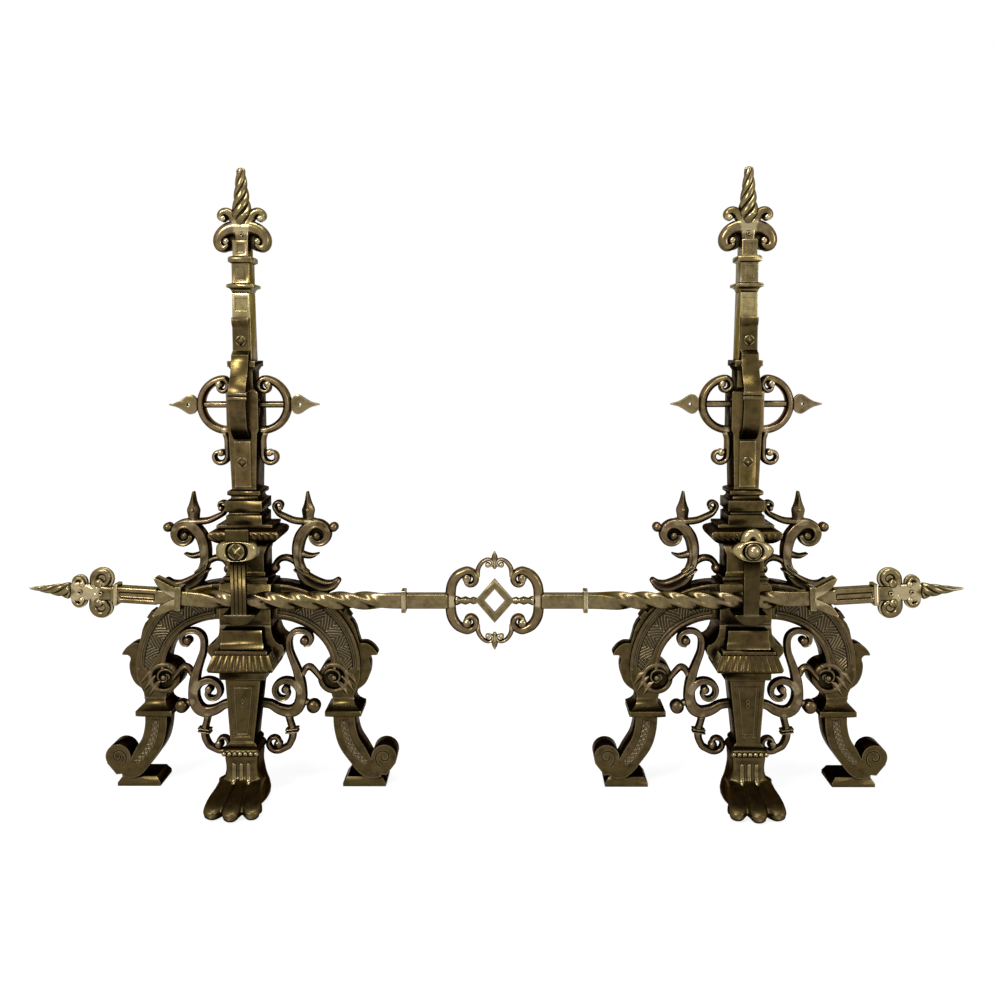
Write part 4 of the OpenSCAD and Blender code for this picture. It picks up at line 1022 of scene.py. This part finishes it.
    def pilaster(self) -> Shell:
        """Second inset border and small eight on the leaning pilaster.

        Returns:
            The relief.
        """
        L, s = LEVELS, Shell()
        z0, z1 = L.z_pilaster + 17.0, L.z_capital - 12.0
        for x0, x1, za, zb in ((-7.2, -12.0, z0, z1), (7.2, 12.0, z0, z1), (-6.5, 6.5, z0, z0),
                               (-11.5, 11.5, z1, z1)):
            strap(s, np.linspace([x0, za, 1.8], [x1, zb, 1.8], 3), 1.2, 1.8, Profile.ROUND, 3.0)
        for z in (38.0, 43.5):
            strap(s, hole_rim(0, z0 + z, 2.7, 1.7), 1.0, 2.4, Profile.ROUND)
        foot, lean = L.z_pilaster + 8, 14
        for v in s.verts:
            v[:, 1] += self.pilaster_y + 0.4 + lean * (v[:, 2] - foot) / (L.z_capital - foot)
        return s

    def reeds(self) -> Shell:
        """Three bright reeds down the ankle onto the instep, and the beads of the band above.

        Returns:
            Reeds and beads.
        """
        s = Shell()
        for x in (-9.6, 0.0, 9.6):
            strap(s, [[x * 1.1, 24, 6.8], [x, 36, 6.6], [x * 0.98, 46, 6.4], [x, 52, 6.4]], 0, 7)
        for v in s.verts:
            v[:, 1] += self.ankle_y + 1.2 - np.interp(v[:, 2], ANKLE[:, 0], ANKLE[:, 2])
        for i in range(-3, 4):
            boss(s, i * 7.2, LEVELS.z_band + 7, 3.2, self.ankle_y - 27, 5, 0.8, 16)
        return s

    def cushion(self) -> Shell:
        """The cushion under the shaft as a square ring of rope-like gadroons, plain above.

        Each level is a rectangle walked round at equal steps; the swell between two grooves is
        |sin| of the distance along the side, slanted with height.

        Returns:
            The closed shell.
        """
        rows = spline([[30, 26, 343], [38, 34, 345], [45, 41, 350], [48, 44, 356], [46.5, 42.5, 360.5],
                       [43, 39, 362.5], [38, 34, 364.5], [36.5, 32.5, 365.5], [38, 34, 366.2],
                       [38, 34, 370]], 6)
        half_w, half_d, z = rows[:, 0:1], rows[:, 1:2], rows[:, 2:3]
        m = 74
        side, one = np.linspace(-1, 1, m, endpoint=False), np.ones(m)
        ux = np.concatenate([side, one, -side, -one])
        uy = np.concatenate([-one, side, one, -side])
        along = np.tile(side, 4)[None, :]
        foot, rise = 345, 15
        swell = np.sin(np.pi * np.clip((z - foot) / rise, 0, 1)) ** 0.5
        swell = np.where((z > foot - 0.5) & (z < foot + rise + 2), swell, 0.0)
        rope = np.abs(np.sin(np.pi * (self.gadroons * (along + 1) / 2 + 1.1 * (z - foot) / 16)))
        corner = np.clip((1 - np.abs(along)) * 9, 0, 1)
        cut = 2.6 * swell * (1 - rope**0.6) * corner
        return Shell().loft(np.stack([(half_w - cut) * ux, (half_d - cut) * uy, z + 0 * cut], -1))

    def paw(self) -> Shell:
        """Lion paw as level slices: each slice is the farthest of heel, pad and three toes.

        A toe's slice is a circle of radius rho at the distance d before the centre; the ray at the
        angle phi from it meets the circle at d cos(phi) + sqrt(rho^2 - d^2 sin^2(phi)).

        Returns:
            The closed shell.
        """
        z = np.concatenate([np.linspace(0, 6, 9), np.linspace(6.8, LEVELS.z_pilaster - 0.1, 72)])
        th = np.radians(np.linspace(0, 360, 300, endpoint=False))

        def circle(x: float, y: Array, rho: Array) -> Array:
            """Radius from the ankle's axis to a circle's far side, nothing where the ray misses.

            Args:
                x: centre.
                y: centre, one for each level.
                rho: radius for each level.

            Returns:
                Radii by level and angle.
            """
            dy = y - self.ankle_y
            d, phi = np.hypot(x, dy)[:, None], th[None, :] - np.arctan2(dy, x)[:, None]
            under = rho[:, None] ** 2 - (d * np.sin(phi)) ** 2
            far = d * np.cos(phi) + np.sqrt(np.maximum(under, 0))
            return np.where((under > 0) & (np.cos(phi) > 0), far, 0)

        half_x, front, power = (np.interp(z, ANKLE[:, 0], ANKLE[:, k])[:, None] for k in (1, 2, 3))
        half_y = np.where(np.sin(th) < 0, front, 36.0)
        r = (np.abs(np.cos(th)) / half_x) ** power + (np.abs(np.sin(th)) / half_y) ** power
        r = r ** (-1 / power)
        knuckle = 12.6 * np.clip(np.sqrt(np.clip(1 - ((z - 13) / 16.5) ** 2, 0.04, 1)), 0.6, 1)
        lean = np.clip((z - 10) / 21, 0, 1)
        low = (z < 33)[:, None]
        for i in (-1, 0, 1):
            toe = circle(i * self.toe_pitch * 1.04, 8 * abs(i) - 163.2 + 72 * lean**2, knuckle)
            mid = circle(i * (23.0 - 6 * lean), 6 * abs(i) - 137 + 50 * lean**2, 12.8 - 4 * lean)
            r = np.where(low, np.maximum(r, np.maximum(toe, mid)), r)
        for _ in range(2):
            r = 0.25 * np.roll(r, 1, 1) + 0.5 * r + 0.25 * np.roll(r, -1, 1)
            r[1:-1] = 0.25 * r[:-2] + 0.5 * r[1:-1] + 0.25 * r[2:]
        r = r * (0.94 + 0.06 * np.sqrt(np.clip(z / 4, 0, 1)))[:, None]
        x, y = r * np.cos(th), self.ankle_y + r * np.sin(th)
        s = Shell().loft(np.stack([x, y, np.repeat(z[:, None], len(th), 1)], -1))
        t, a = np.linspace(0, 1, 9)[:, None], np.radians(np.linspace(0, 360, 16, endpoint=False))
        claw_r = 4.4 * np.sqrt(np.clip(1 - t**1.5, 0.02, 1))
        for i in (-1, 0, 1):
            s.loft(np.stack([i * 25.5 + claw_r * np.cos(a), 8 * abs(i) - 161.5 - 13.5 * t + 0 * a,
                             11 - 5 * t**1.6 + 0.8 * claw_r * np.sin(a)], -1))
        return s

    def pillow(self, shell: Shell, rim: Array, hole: float, centre: tuple, y: float, bulge: float,
               ripples: int = 0) -> None:
        """A cushion between a round hole and an outline, such as the boss of a bar hook.

        Args:
            shell: takes the pillow.
            rim: outline points x, z, one for each angle.
            hole: radius of the round hole about the centre.
            centre: x, z of the hole.
            y: depth of the rim.
            bulge: how far the pillow stands out.
            ripples: number of engraved lines that run round it.
        """
        t = np.linspace(0, 1, 26)
        a = np.radians(np.linspace(0, 360, len(rim), endpoint=False))
        inner = np.stack([centre[0] + hole * np.cos(a), centre[1] + hole * np.sin(a)], 1)
        flat = inner[None] * (1 - t)[:, None, None] + rim[None] * t[:, None, None]
        swell = np.sin(np.pi * t) ** 0.55 * bulge
        if ripples:
            swell = swell - 0.5 * np.abs(np.sin(np.pi * ripples * t))
        depths = np.concatenate([[y + 2.0], y - swell, [y + 8.0]])
        flat = np.concatenate([inner[None], flat, rim[None]])
        shell.loft(np.stack([flat[..., 0], depths[:, None] + 0 * a, flat[..., 1]], -1), flip=True)

    def slab(self, shell: Shell, outline: Array, y0: float, y1: float, round_: float = 1.2) -> None:
        """A plate with rounded front edges: the outline stepped toward its middle at the front.

        Args:
            shell: takes the plate.
            outline: x, z points round the plate, star-shaped about their mean.
            y0: depth of the back.
            y1: depth of the front, less than y0.
            round_: radius of the front edges.
        """
        away = outline - outline.mean(0)
        dist = np.linalg.norm(away, axis=1)
        edge = round_ * np.array([0.0, 0.3, 1.0])
        inward = np.concatenate([[0.4 * dist, 0 * dist], edge[:, None] + 0 * dist, [0.6 * dist]])
        depths = np.array([y0, y0, y1 + round_, y1 + 0.3 * round_, y1, y1])[:, None] + 0 * dist
        flat = outline - (away / dist[:, None]) * inward[..., None]
        shell.loft(np.stack([flat[..., 0], depths, flat[..., 1]], -1))

    def hook(self, fancy: bool) -> Shell:
        """The hook's half-round corbel, its strap and the block behind the boss.

        Args:
            fancy: smooth strap, without the grooves and the block.

        Returns:
            The hook.
        """
        s, seat, top, back = Shell(), self.seat_z, self.boss_z, self.hook_back
        a = np.radians(np.linspace(180, 360, 40))
        disc = np.stack([24 * np.cos(a), seat + 8 + 24 * np.sin(a)], 1)
        disc = disc[disc[:, 1] < seat - 1]
        lid = np.stack([np.linspace(disc[-1, 0], disc[0, 0], 12)[1:-1], np.full(10, seat - 1.0)], 1)
        self.slab(s, np.vstack([disc, lid]), -45, self.hook_front - 0.6)
        half = self.hook_w / 2
        x = np.linspace(-half, half, 121)
        front = self.hook_front + 1.2 * np.clip((np.abs(x) - half + 0.9) / 0.9, 0, 1) ** 2
        if not fancy:
            for line in (-5.2, 0.0, 5.2):
                front += 1.2 * np.exp(-(((x - line) / 0.55) ** 4))
        row = np.concatenate([np.stack([x, front], 1), [[half, back], [0, back + 0.1], [-half, back]]])
        levels = np.array([seat - 3, seat - 2, seat - 1, seat + 4, top - 6])[:, None]
        s.loft(np.stack([row[:, 0] + 0 * levels, row[:, 1] + 0 * levels, levels + 0 * row[:, 0]], -1))
        if not fancy:
            block = np.array([[-16, top, 1], [-16, top + 29, 1], [16, top + 29, 1], [16, top, 1],
                              [-16, top, 1]])
            self.slab(s, resample(block, 2.0)[:-1, :2], back, back - 10)
        return s

    def hook_boss(self, fancy: bool) -> Shell:
        """Domed boss round the hook's stud, with its top lobe or plain.

        Args:
            fancy: rippled boss with a ball and a top lobe, not with a pyramid.

        Returns:
            The boss.
        """
        s, z, y = Shell(), self.boss_z, self.hook_front
        a = np.radians(np.linspace(0, 360, 96, endpoint=False))
        ca, sa = np.cos(a), np.sin(a)

        def oval(half_h: float, across: float, up: float) -> Array:
            """Outline of the boss: powers under 1 square it, a power over 1 points it."""
            x = 28 * np.sign(ca) * np.abs(ca) ** across
            return np.stack([x, z + half_h * np.sign(sa) * np.abs(sa) ** up], 1)

        if fancy:
            lobe = np.stack([15.5 * ca, z + 14 + 15.5 * sa], 1)
            self.pillow(s, lobe, 1.0, (0, z + 14), y + 3, 6)
            self.pillow(s, oval(14.5, 0.9, 1.15), 10.5, (0, z), y - 1.0, 6.5, 4)
            boss(s, 0, z, 9.4, y - 5, 6, 0.95)
            return s
        self.pillow(s, oval(13.8, 0.62, 0.62), 11.5, (0, z), y, 8)
        t = np.linspace(0, 1, 9)[:, None]
        r = 7.4 * (1 - t) * (np.abs(ca) ** 9 + np.abs(sa) ** 9) ** (-1 / 9) + 0.2
        pyramid = np.stack([r * ca, y - 5.5 - 9.5 * t + 0 * r, z + r * sa], -1)
        s.loft(np.concatenate([pyramid[:1] * [1, 0, 1] + [0, y, 0], pyramid]))
        return s

    def build(self) -> None:
        """Puts the castings on both andirons; the right hook is the fancy one."""
        for side in Side:
            fancy = side is Side.RIGHT
            self.cast(side, self.arch().both(), "arch_relief", Finish.RELIEF)
            self.cast(side, self.leg().both(), "leg_relief", Finish.RELIEF)
            self.cast(side, self.pilaster(), "pilaster_relief", Finish.SHADED)
            self.cast(side, self.cushion(), "cushion_cast", Finish.DARK, ("gadroon_cap",), "dark_brass")
            self.cast(side, self.paw(), "paw_cast", Finish.RUBBED, ("paw", "ankle"))
            self.cast(side, self.reeds(), "ankle_reeds", Finish.POLISHED)
            self.cast(side, self.hook(fancy), "hook_cast", Finish.SHADED, ("bar_hook",))
            # the boss is dressed lighter as painted highlight
            self.cast(side, self.hook_boss(fancy), "hook_boss", Finish.BRIGHT)


@dataclass
class Crossbar(Maker):
    """The bar with its twist, its end finials and its centre frame."""

    size: float = 20.0
    half: float = 515.0
    slope: float = 3.5
    twist_start: float = 155.0
    twist_pitch: float = 33.0
    turns: int = 7
    channel_l: float = 62.0
    channel_depth: float = 4.2
    frame_half: float = 66.0
    frame_t: float = 15.0
    plate_t: float = 14.0
    plate_l: float = 56.0

    @property
    def twist_end(self) -> float:
        """Where the twist stops."""
        return self.twist_start + self.turns * self.twist_pitch

    @property
    def bend_x(self) -> float:
        """Where the bar bends upward, just outside the hook."""
        return self.twist_end - self.twist_pitch

    def bent(self, shell: Shell) -> Shell:
        """Turns what lies beyond the bend up by the slope, about the bend.

        Args:
            shell: what is turned, in place.

        Returns:
            The same shell.
        """
        a = math.radians(self.slope)
        for v in shell.verts:
            out = v[:, 0] > self.bend_x
            dx = v[out, 0] - self.bend_x
            z = v[out, 2].copy()
            v[out, 0] = self.bend_x + dx * math.cos(a) - z * math.sin(a)
            v[out, 2] = dx * math.sin(a) + z * math.cos(a)
        return shell

    def rod(self, hand: float) -> Shell:
        """One half of the bar as a loft of rounded squares.

        A ring is a square whose corners are rounded by a power mean; the ring's angle grows by 90
        degrees over each pitch of the twisted stretch. Along the end part the front is sunk in a
        channel.

        Args:
            hand: 1 or -1, the twist's hand on the right half.

        Returns:
            The half for x > 0.
        """
        x0, margin = self.frame_half - 3, 14
        a, b = self.twist_start - margin, self.twist_end + margin
        x = np.concatenate([np.linspace(x0, a, 20, endpoint=False), np.linspace(a, b, 240, endpoint=False),
                            np.linspace(b, self.half, 90)])
        th = np.linspace(0, 2 * np.pi, 72, endpoint=False)

        def run(u: Array, soft: float = 0.25) -> Array:
            """Nothing below zero and u above it, with a soft corner."""
            return soft * np.log1p(np.exp(np.clip(u / soft, -60, 60)))

        u = (x - self.twist_start) / self.twist_pitch
        angle = hand * np.pi / 2 * (run(u) - run(u - self.turns))
        twisted = 1 / (1 + np.exp((self.twist_start - x) / 5)) / (1 + np.exp((x - self.twist_end) / 5))
        p = (9 - 3.5 * twisted)[:, None]
        channel_x = self.half - self.channel_l
        half = np.where(x > channel_x, self.size / 2 + 1, self.size / 2)
        a = th[None, :] - angle[:, None]
        r = half[:, None] / (np.abs(np.cos(a)) ** p + np.abs(np.sin(a)) ** p) ** (1 / p)
        r = r * (1 - 0.045 * twisted[:, None] * (1 + np.cos(4 * a)) / 2)
        yy, zz = -r * np.cos(th), r * np.sin(th)

        def stretch(start: float, end: float, edge: float) -> Array:
            """One between two places along the bar, nothing outside them."""
            return np.minimum(np.clip((x - start) / edge, 0, 1), np.clip((end - x) / edge, 0, 1))[:, None]

        groove = np.exp(-((zz / 4.2) ** 6)) * (yy < 0)
        line = np.exp(-(((np.abs(zz) - 4.4) / 0.7) ** 2)) * (yy < 0)
        yy = yy + self.channel_depth * stretch(channel_x + 3, self.half - 9, 2) * groove
        yy = yy + 0.8 * stretch(x0 + 6, x0 + 46, 1.5) * line
        rings = np.stack([np.repeat(x[:, None], len(th), 1), yy, zz], -1)
        return self.bent(Shell().loft(rings, flip=True))

    def laid(self, shell: Shell, x: float) -> Shell:
        """Lays an upright shell along +x from x on, bent up with the bar's end.

        Args:
            shell: what is laid, in place.
            x: where it starts.

        Returns:
            The same shell.
        """
        for v in shell.verts:
            v[:] = np.stack([v[:, 2] + x, v[:, 1], -v[:, 0]], 1)
        return self.bent(shell)

    def end_finial(self) -> Shell:
        """The fleshy plate at the end: two big scrolls, two small ones and a waisted body.

        Returns:
            The plate for x > 0.
        """
        s, t = Shell(), self.plate_t
        c, r = (19.3, 14.5), 17.6
        w = r * 0.66
        droop = np.vstack([[[c[0] * 0.25, c[1] + r * 0.5, w], [c[0] * 0.55, c[1] + r - w * 0.55, w]],
                           volute(c, r - w / 2, r * 0.40, 105, -215, w, w * 0.6)])
        scroll(s, droop, r * 0.36, 0, t, Profile.DOMED, 0.8)
        boss(s, *c, r * 0.86, 1.5, t - 6, 0.03)
        c, r = (12.2, 45.5), 12.6
        w = r * 0.68
        rise = np.vstack([[[c[0] * 0.30, c[1] - r * 1.5, w * 1.6], [c[0] * 0.52, c[1] - r * 0.9, w * 1.3]],
                          volute(c, r - w / 2, r * 0.40, 190, -110, w, w * 0.6)])
        scroll(s, rise, r * 0.36, 0, t - 1, Profile.DOMED, 0.9)
        boss(s, *c, r * 0.84, 2, t - 7, 0.03)
        s = s.both()
        body = [[0, 1, 19], [0, 8, 20], [0, 16, 22], [0, 28, 17], [0, 38, 24], [0, 47, 30], [0, 55, 23]]
        strap(s, np.array(body), 0, t, Profile.CHANNEL, 1.5, 0.1)
        for z in (15, 43):
            strap(s, hole_rim(0, z, 2.8, 1.6), -0.5 * t - 0.6, 3, Profile.ROUND)
        return self.laid(s, self.half)

    def end_horn(self) -> Shell:
        """The twisted horn at the end, pointing along +x."""
        return self.laid(twisted_horn(58, 11.5, 1.4, 4, 7, 330), self.half + self.plate_l)

    def frame(self) -> Shell:
        """The quatrefoil frame: two C straps, four small arches with scrolls and two drops.

        Returns:
            The frame about the bar's middle.
        """
        s = Shell()
        r, t = self.frame_half - 7, self.frame_t
        up = np.vstack([spline([[r + 0.5, -1, 14], [r - 1, 20, 14], [r - 9, 34, 13], [r - 22, 40.5, 12]]),
                        volute((r - 25, 28), 12, 4, 95, 400, 10, 5)])
        scroll(s, up, 6, 0, t, Profile.DOMED, 0.7)
        small = np.vstack([spline([[r - 36, 34, 7], [r - 37, 44, 6.5], [r - 43, 53, 6], [9, 56.5, 5.5]], 5),
                           volute((7, 50), 6.5, 2.5, 80, 330, 5, 3)])
        scroll(s, small, 3.5, 0, t - 5, Profile.ROUND, 0.8)
        s = s.both()
        strap(s, [[0, 46, 6], [0, 52, 7], [0, 58, 9], [0, 62, 7], [0, 65.5, 3]], 0, t - 6,
              Profile.ROUND, 1.0, 0.5)
        return s.both((1, 1, -1))

    def build(self) -> None:
        """Puts the bar's pieces on the crossbar's body."""
        origin = (0, LEVELS.frame_y + LEVELS.bar_y, LEVELS.bar_z)
        copper = "copper_toned_brass"
        for word, shell, finish, slot in (
                ("right_bar_forged", self.rod(-1), Finish.POLISHED, "antique_brass"),
                ("left_bar_forged", self.rod(1).mirrored(), Finish.POLISHED, "antique_brass"),
                ("end_scrolls_cast", self.end_finial().both(), Finish.POLISHED, copper),
                ("end_horns_cast", self.end_horn().both(), Finish.GROOVED, "antique_brass"),
                ("centre_frame_cast", self.frame(), Finish.RING, copper)):
            node = "crossbar_" + word.rpartition("_")[0]
            self.place(shell, "crossbar_" + word, "crossbar", origin, finish, (node,), slot)


# ---------------------------------------------------------------- studio

@dataclass(frozen=True)
class Studio:
    """Camera, lamps, floor and background."""

    focal_px: float = 1300.0
    picture_px: float = 995.0
    eye: tuple = (0.0211, -1.718, 0.6106)
    turn: tuple = (math.pi / 2 - 0.1155, 0.0016, 0.0101)
    floor_half: float = 12.0
    floor_glow: float = 0.75

    def camera(self) -> None:
        """The photograph's view, fitted to the andirons' own corners."""
        data = bpy.data.cameras.new("view")
        data.sensor_width = data.sensor_height = 36.0
        data.sensor_fit = "VERTICAL"
        data.lens = self.focal_px * 36.0 / self.picture_px
        data.clip_start, data.clip_end = 0.05, 50.0
        cam = bpy.data.objects.new("view", data)
        cam.location, cam.rotation_euler = self.eye, self.turn
        bpy.context.scene.collection.objects.link(cam)
        bpy.context.scene.camera = cam

    def lamp(self, name: str, place: tuple, aim: tuple, size: tuple, watts: float) -> None:
        """One rectangular soft lamp that looks at a point.

        Args:
            name: its name.
            place: where it hangs.
            aim: the point it looks at.
            size: its width and height.
            watts: its power.
        """
        data = bpy.data.lights.new(name, "AREA")
        data.shape = "RECTANGLE"
        data.size, data.size_y = size
        data.energy = watts
        obj = bpy.data.objects.new(name, data)
        obj.location = place
        obj.rotation_euler = (Vector(aim) - Vector(place)).to_track_quat("-Z", "Y").to_euler()
        bpy.context.scene.collection.objects.link(obj)

    def world(self) -> None:
        """White to the camera and in reflections, plain grey for the light it gives."""
        world = bpy.data.worlds.new("studio")
        bpy.context.scene.world = world
        world.use_nodes = True
        n = Nodes(world.node_tree)
        colour = n.mix(n.seen(), (0.75, 0.76, 0.78), (1, 1, 1))
        n.fill(world.node_tree.nodes["Background"], {"Color": colour, "Strength": 1.0})

    def floor(self) -> None:
        """A pale floor that stays nearly white to the camera and keeps a soft shadow."""
        far = self.floor_half
        data = bpy.data.meshes.new("floor")
        data.from_pydata([(-far, -far, 0), (far, -far, 0), (far, far, 0), (-far, far, 0)], [], [(0, 1, 2, 3)])
        obj = bpy.data.objects.new("floor", data)
        bpy.context.scene.collection.objects.link(obj)
        m = bpy.data.materials.new("floor")
        m.use_nodes = True
        n, node = Nodes(m.node_tree), m.node_tree.nodes
        shader = node["Principled BSDF"]
        n.fill(shader, {"Base Color": (0.86, 0.86, 0.86), "Roughness": 0.9})
        glow = n.add("Emission", {"Strength": 1.12})
        share = n.add("Math", {0: n.seen(), 1: self.floor_glow}, operation="MULTIPLY").outputs[0]
        both = n.add("MixShader", {0: share, 1: shader.outputs[0], 2: glow.outputs[0]})
        n.fill(node["Material Output"], {"Surface": both.outputs[0]})
        dress(obj, m)

    def build(self) -> None:
        """Sets up the whole studio."""
        self.camera()
        self.world()
        self.floor()
        self.lamp("key", (-1.4, -2.4, 2.2), (0, 0, 0.45), (0.9, 0.7), 80)
        self.lamp("fill", (2.4, -1.6, 1.2), (0, 0, 0.4), (0.8, 1.2), 22)
        self.lamp("top", (0.0, -0.5, 2.8), (0, 0, 0.4), (1.6, 0.5), 34)
        bpy.context.scene.view_settings.view_transform = "Standard"


# ---------------------------------------------------------------- assembly

# bevel widths in millimetres
SOFT_EDGES = {
    "front_pilaster": 1.0, "centre_block": 1.0, "lower_shaft": 1.0, "upper_shaft": 0.8,
    "shaft_base": 0.8, "neck_collars": 0.8, "outer_arch": 1.2, "inner_arch": 1.2, "outer_leg": 1.2,
    "inner_leg": 1.2, "leg_capital": 0.8, "spit_hook": 1.2, "lozenge": 1.2, "bands": 1.5,
    "leaf_collars": 1.2, "ring_rod": 1.0, "studs": 0.5,
}

NODE_FINISHES = {
    "tie_rod": Finish.IRON,
    # the upper shaft is dressed lighter as painted highlight
    "upper_shaft": Finish.BRIGHT,
    **dict.fromkeys(("bands", "leaf_collars", "lozenge", "neck_collars", "ring_rod"), Finish.POLISHED),
    **dict.fromkeys(("centre_block", "leg_capital", "outer_leg", "inner_leg", "front_pilaster",
                     "spit_hook", "outer_arch", "inner_arch", "shaft_base", "studs"), Finish.DARK),
}


def dress_nodes(nodes: dict, materials: dict) -> None:
    """Gives every CAD node its finish and soft edges.

    Args:
        nodes: CAD node objects by name.
        materials: the set's materials by finish.
    """
    for name, obj in nodes.items():
        kind = name.split("_", 1)[1]
        dress(obj, materials[NODE_FINISHES.get(kind, Finish.BRASS)])
        if kind in SOFT_EDGES:
            soften(obj, SOFT_EDGES[kind])


def main() -> None:
    """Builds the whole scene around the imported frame."""
    logging.basicConfig(level=logging.INFO, format="%(name)s: %(message)s")
    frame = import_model()
    Studio().build()
    materials = {finish: finish.value.material() for finish in Finish}
    dress_nodes(frame["nodes"], materials)
    for maker in (Scrollwork, Finial, Castings, Crossbar):
        maker(materials).build()


if __name__ == "__main__":
    main()
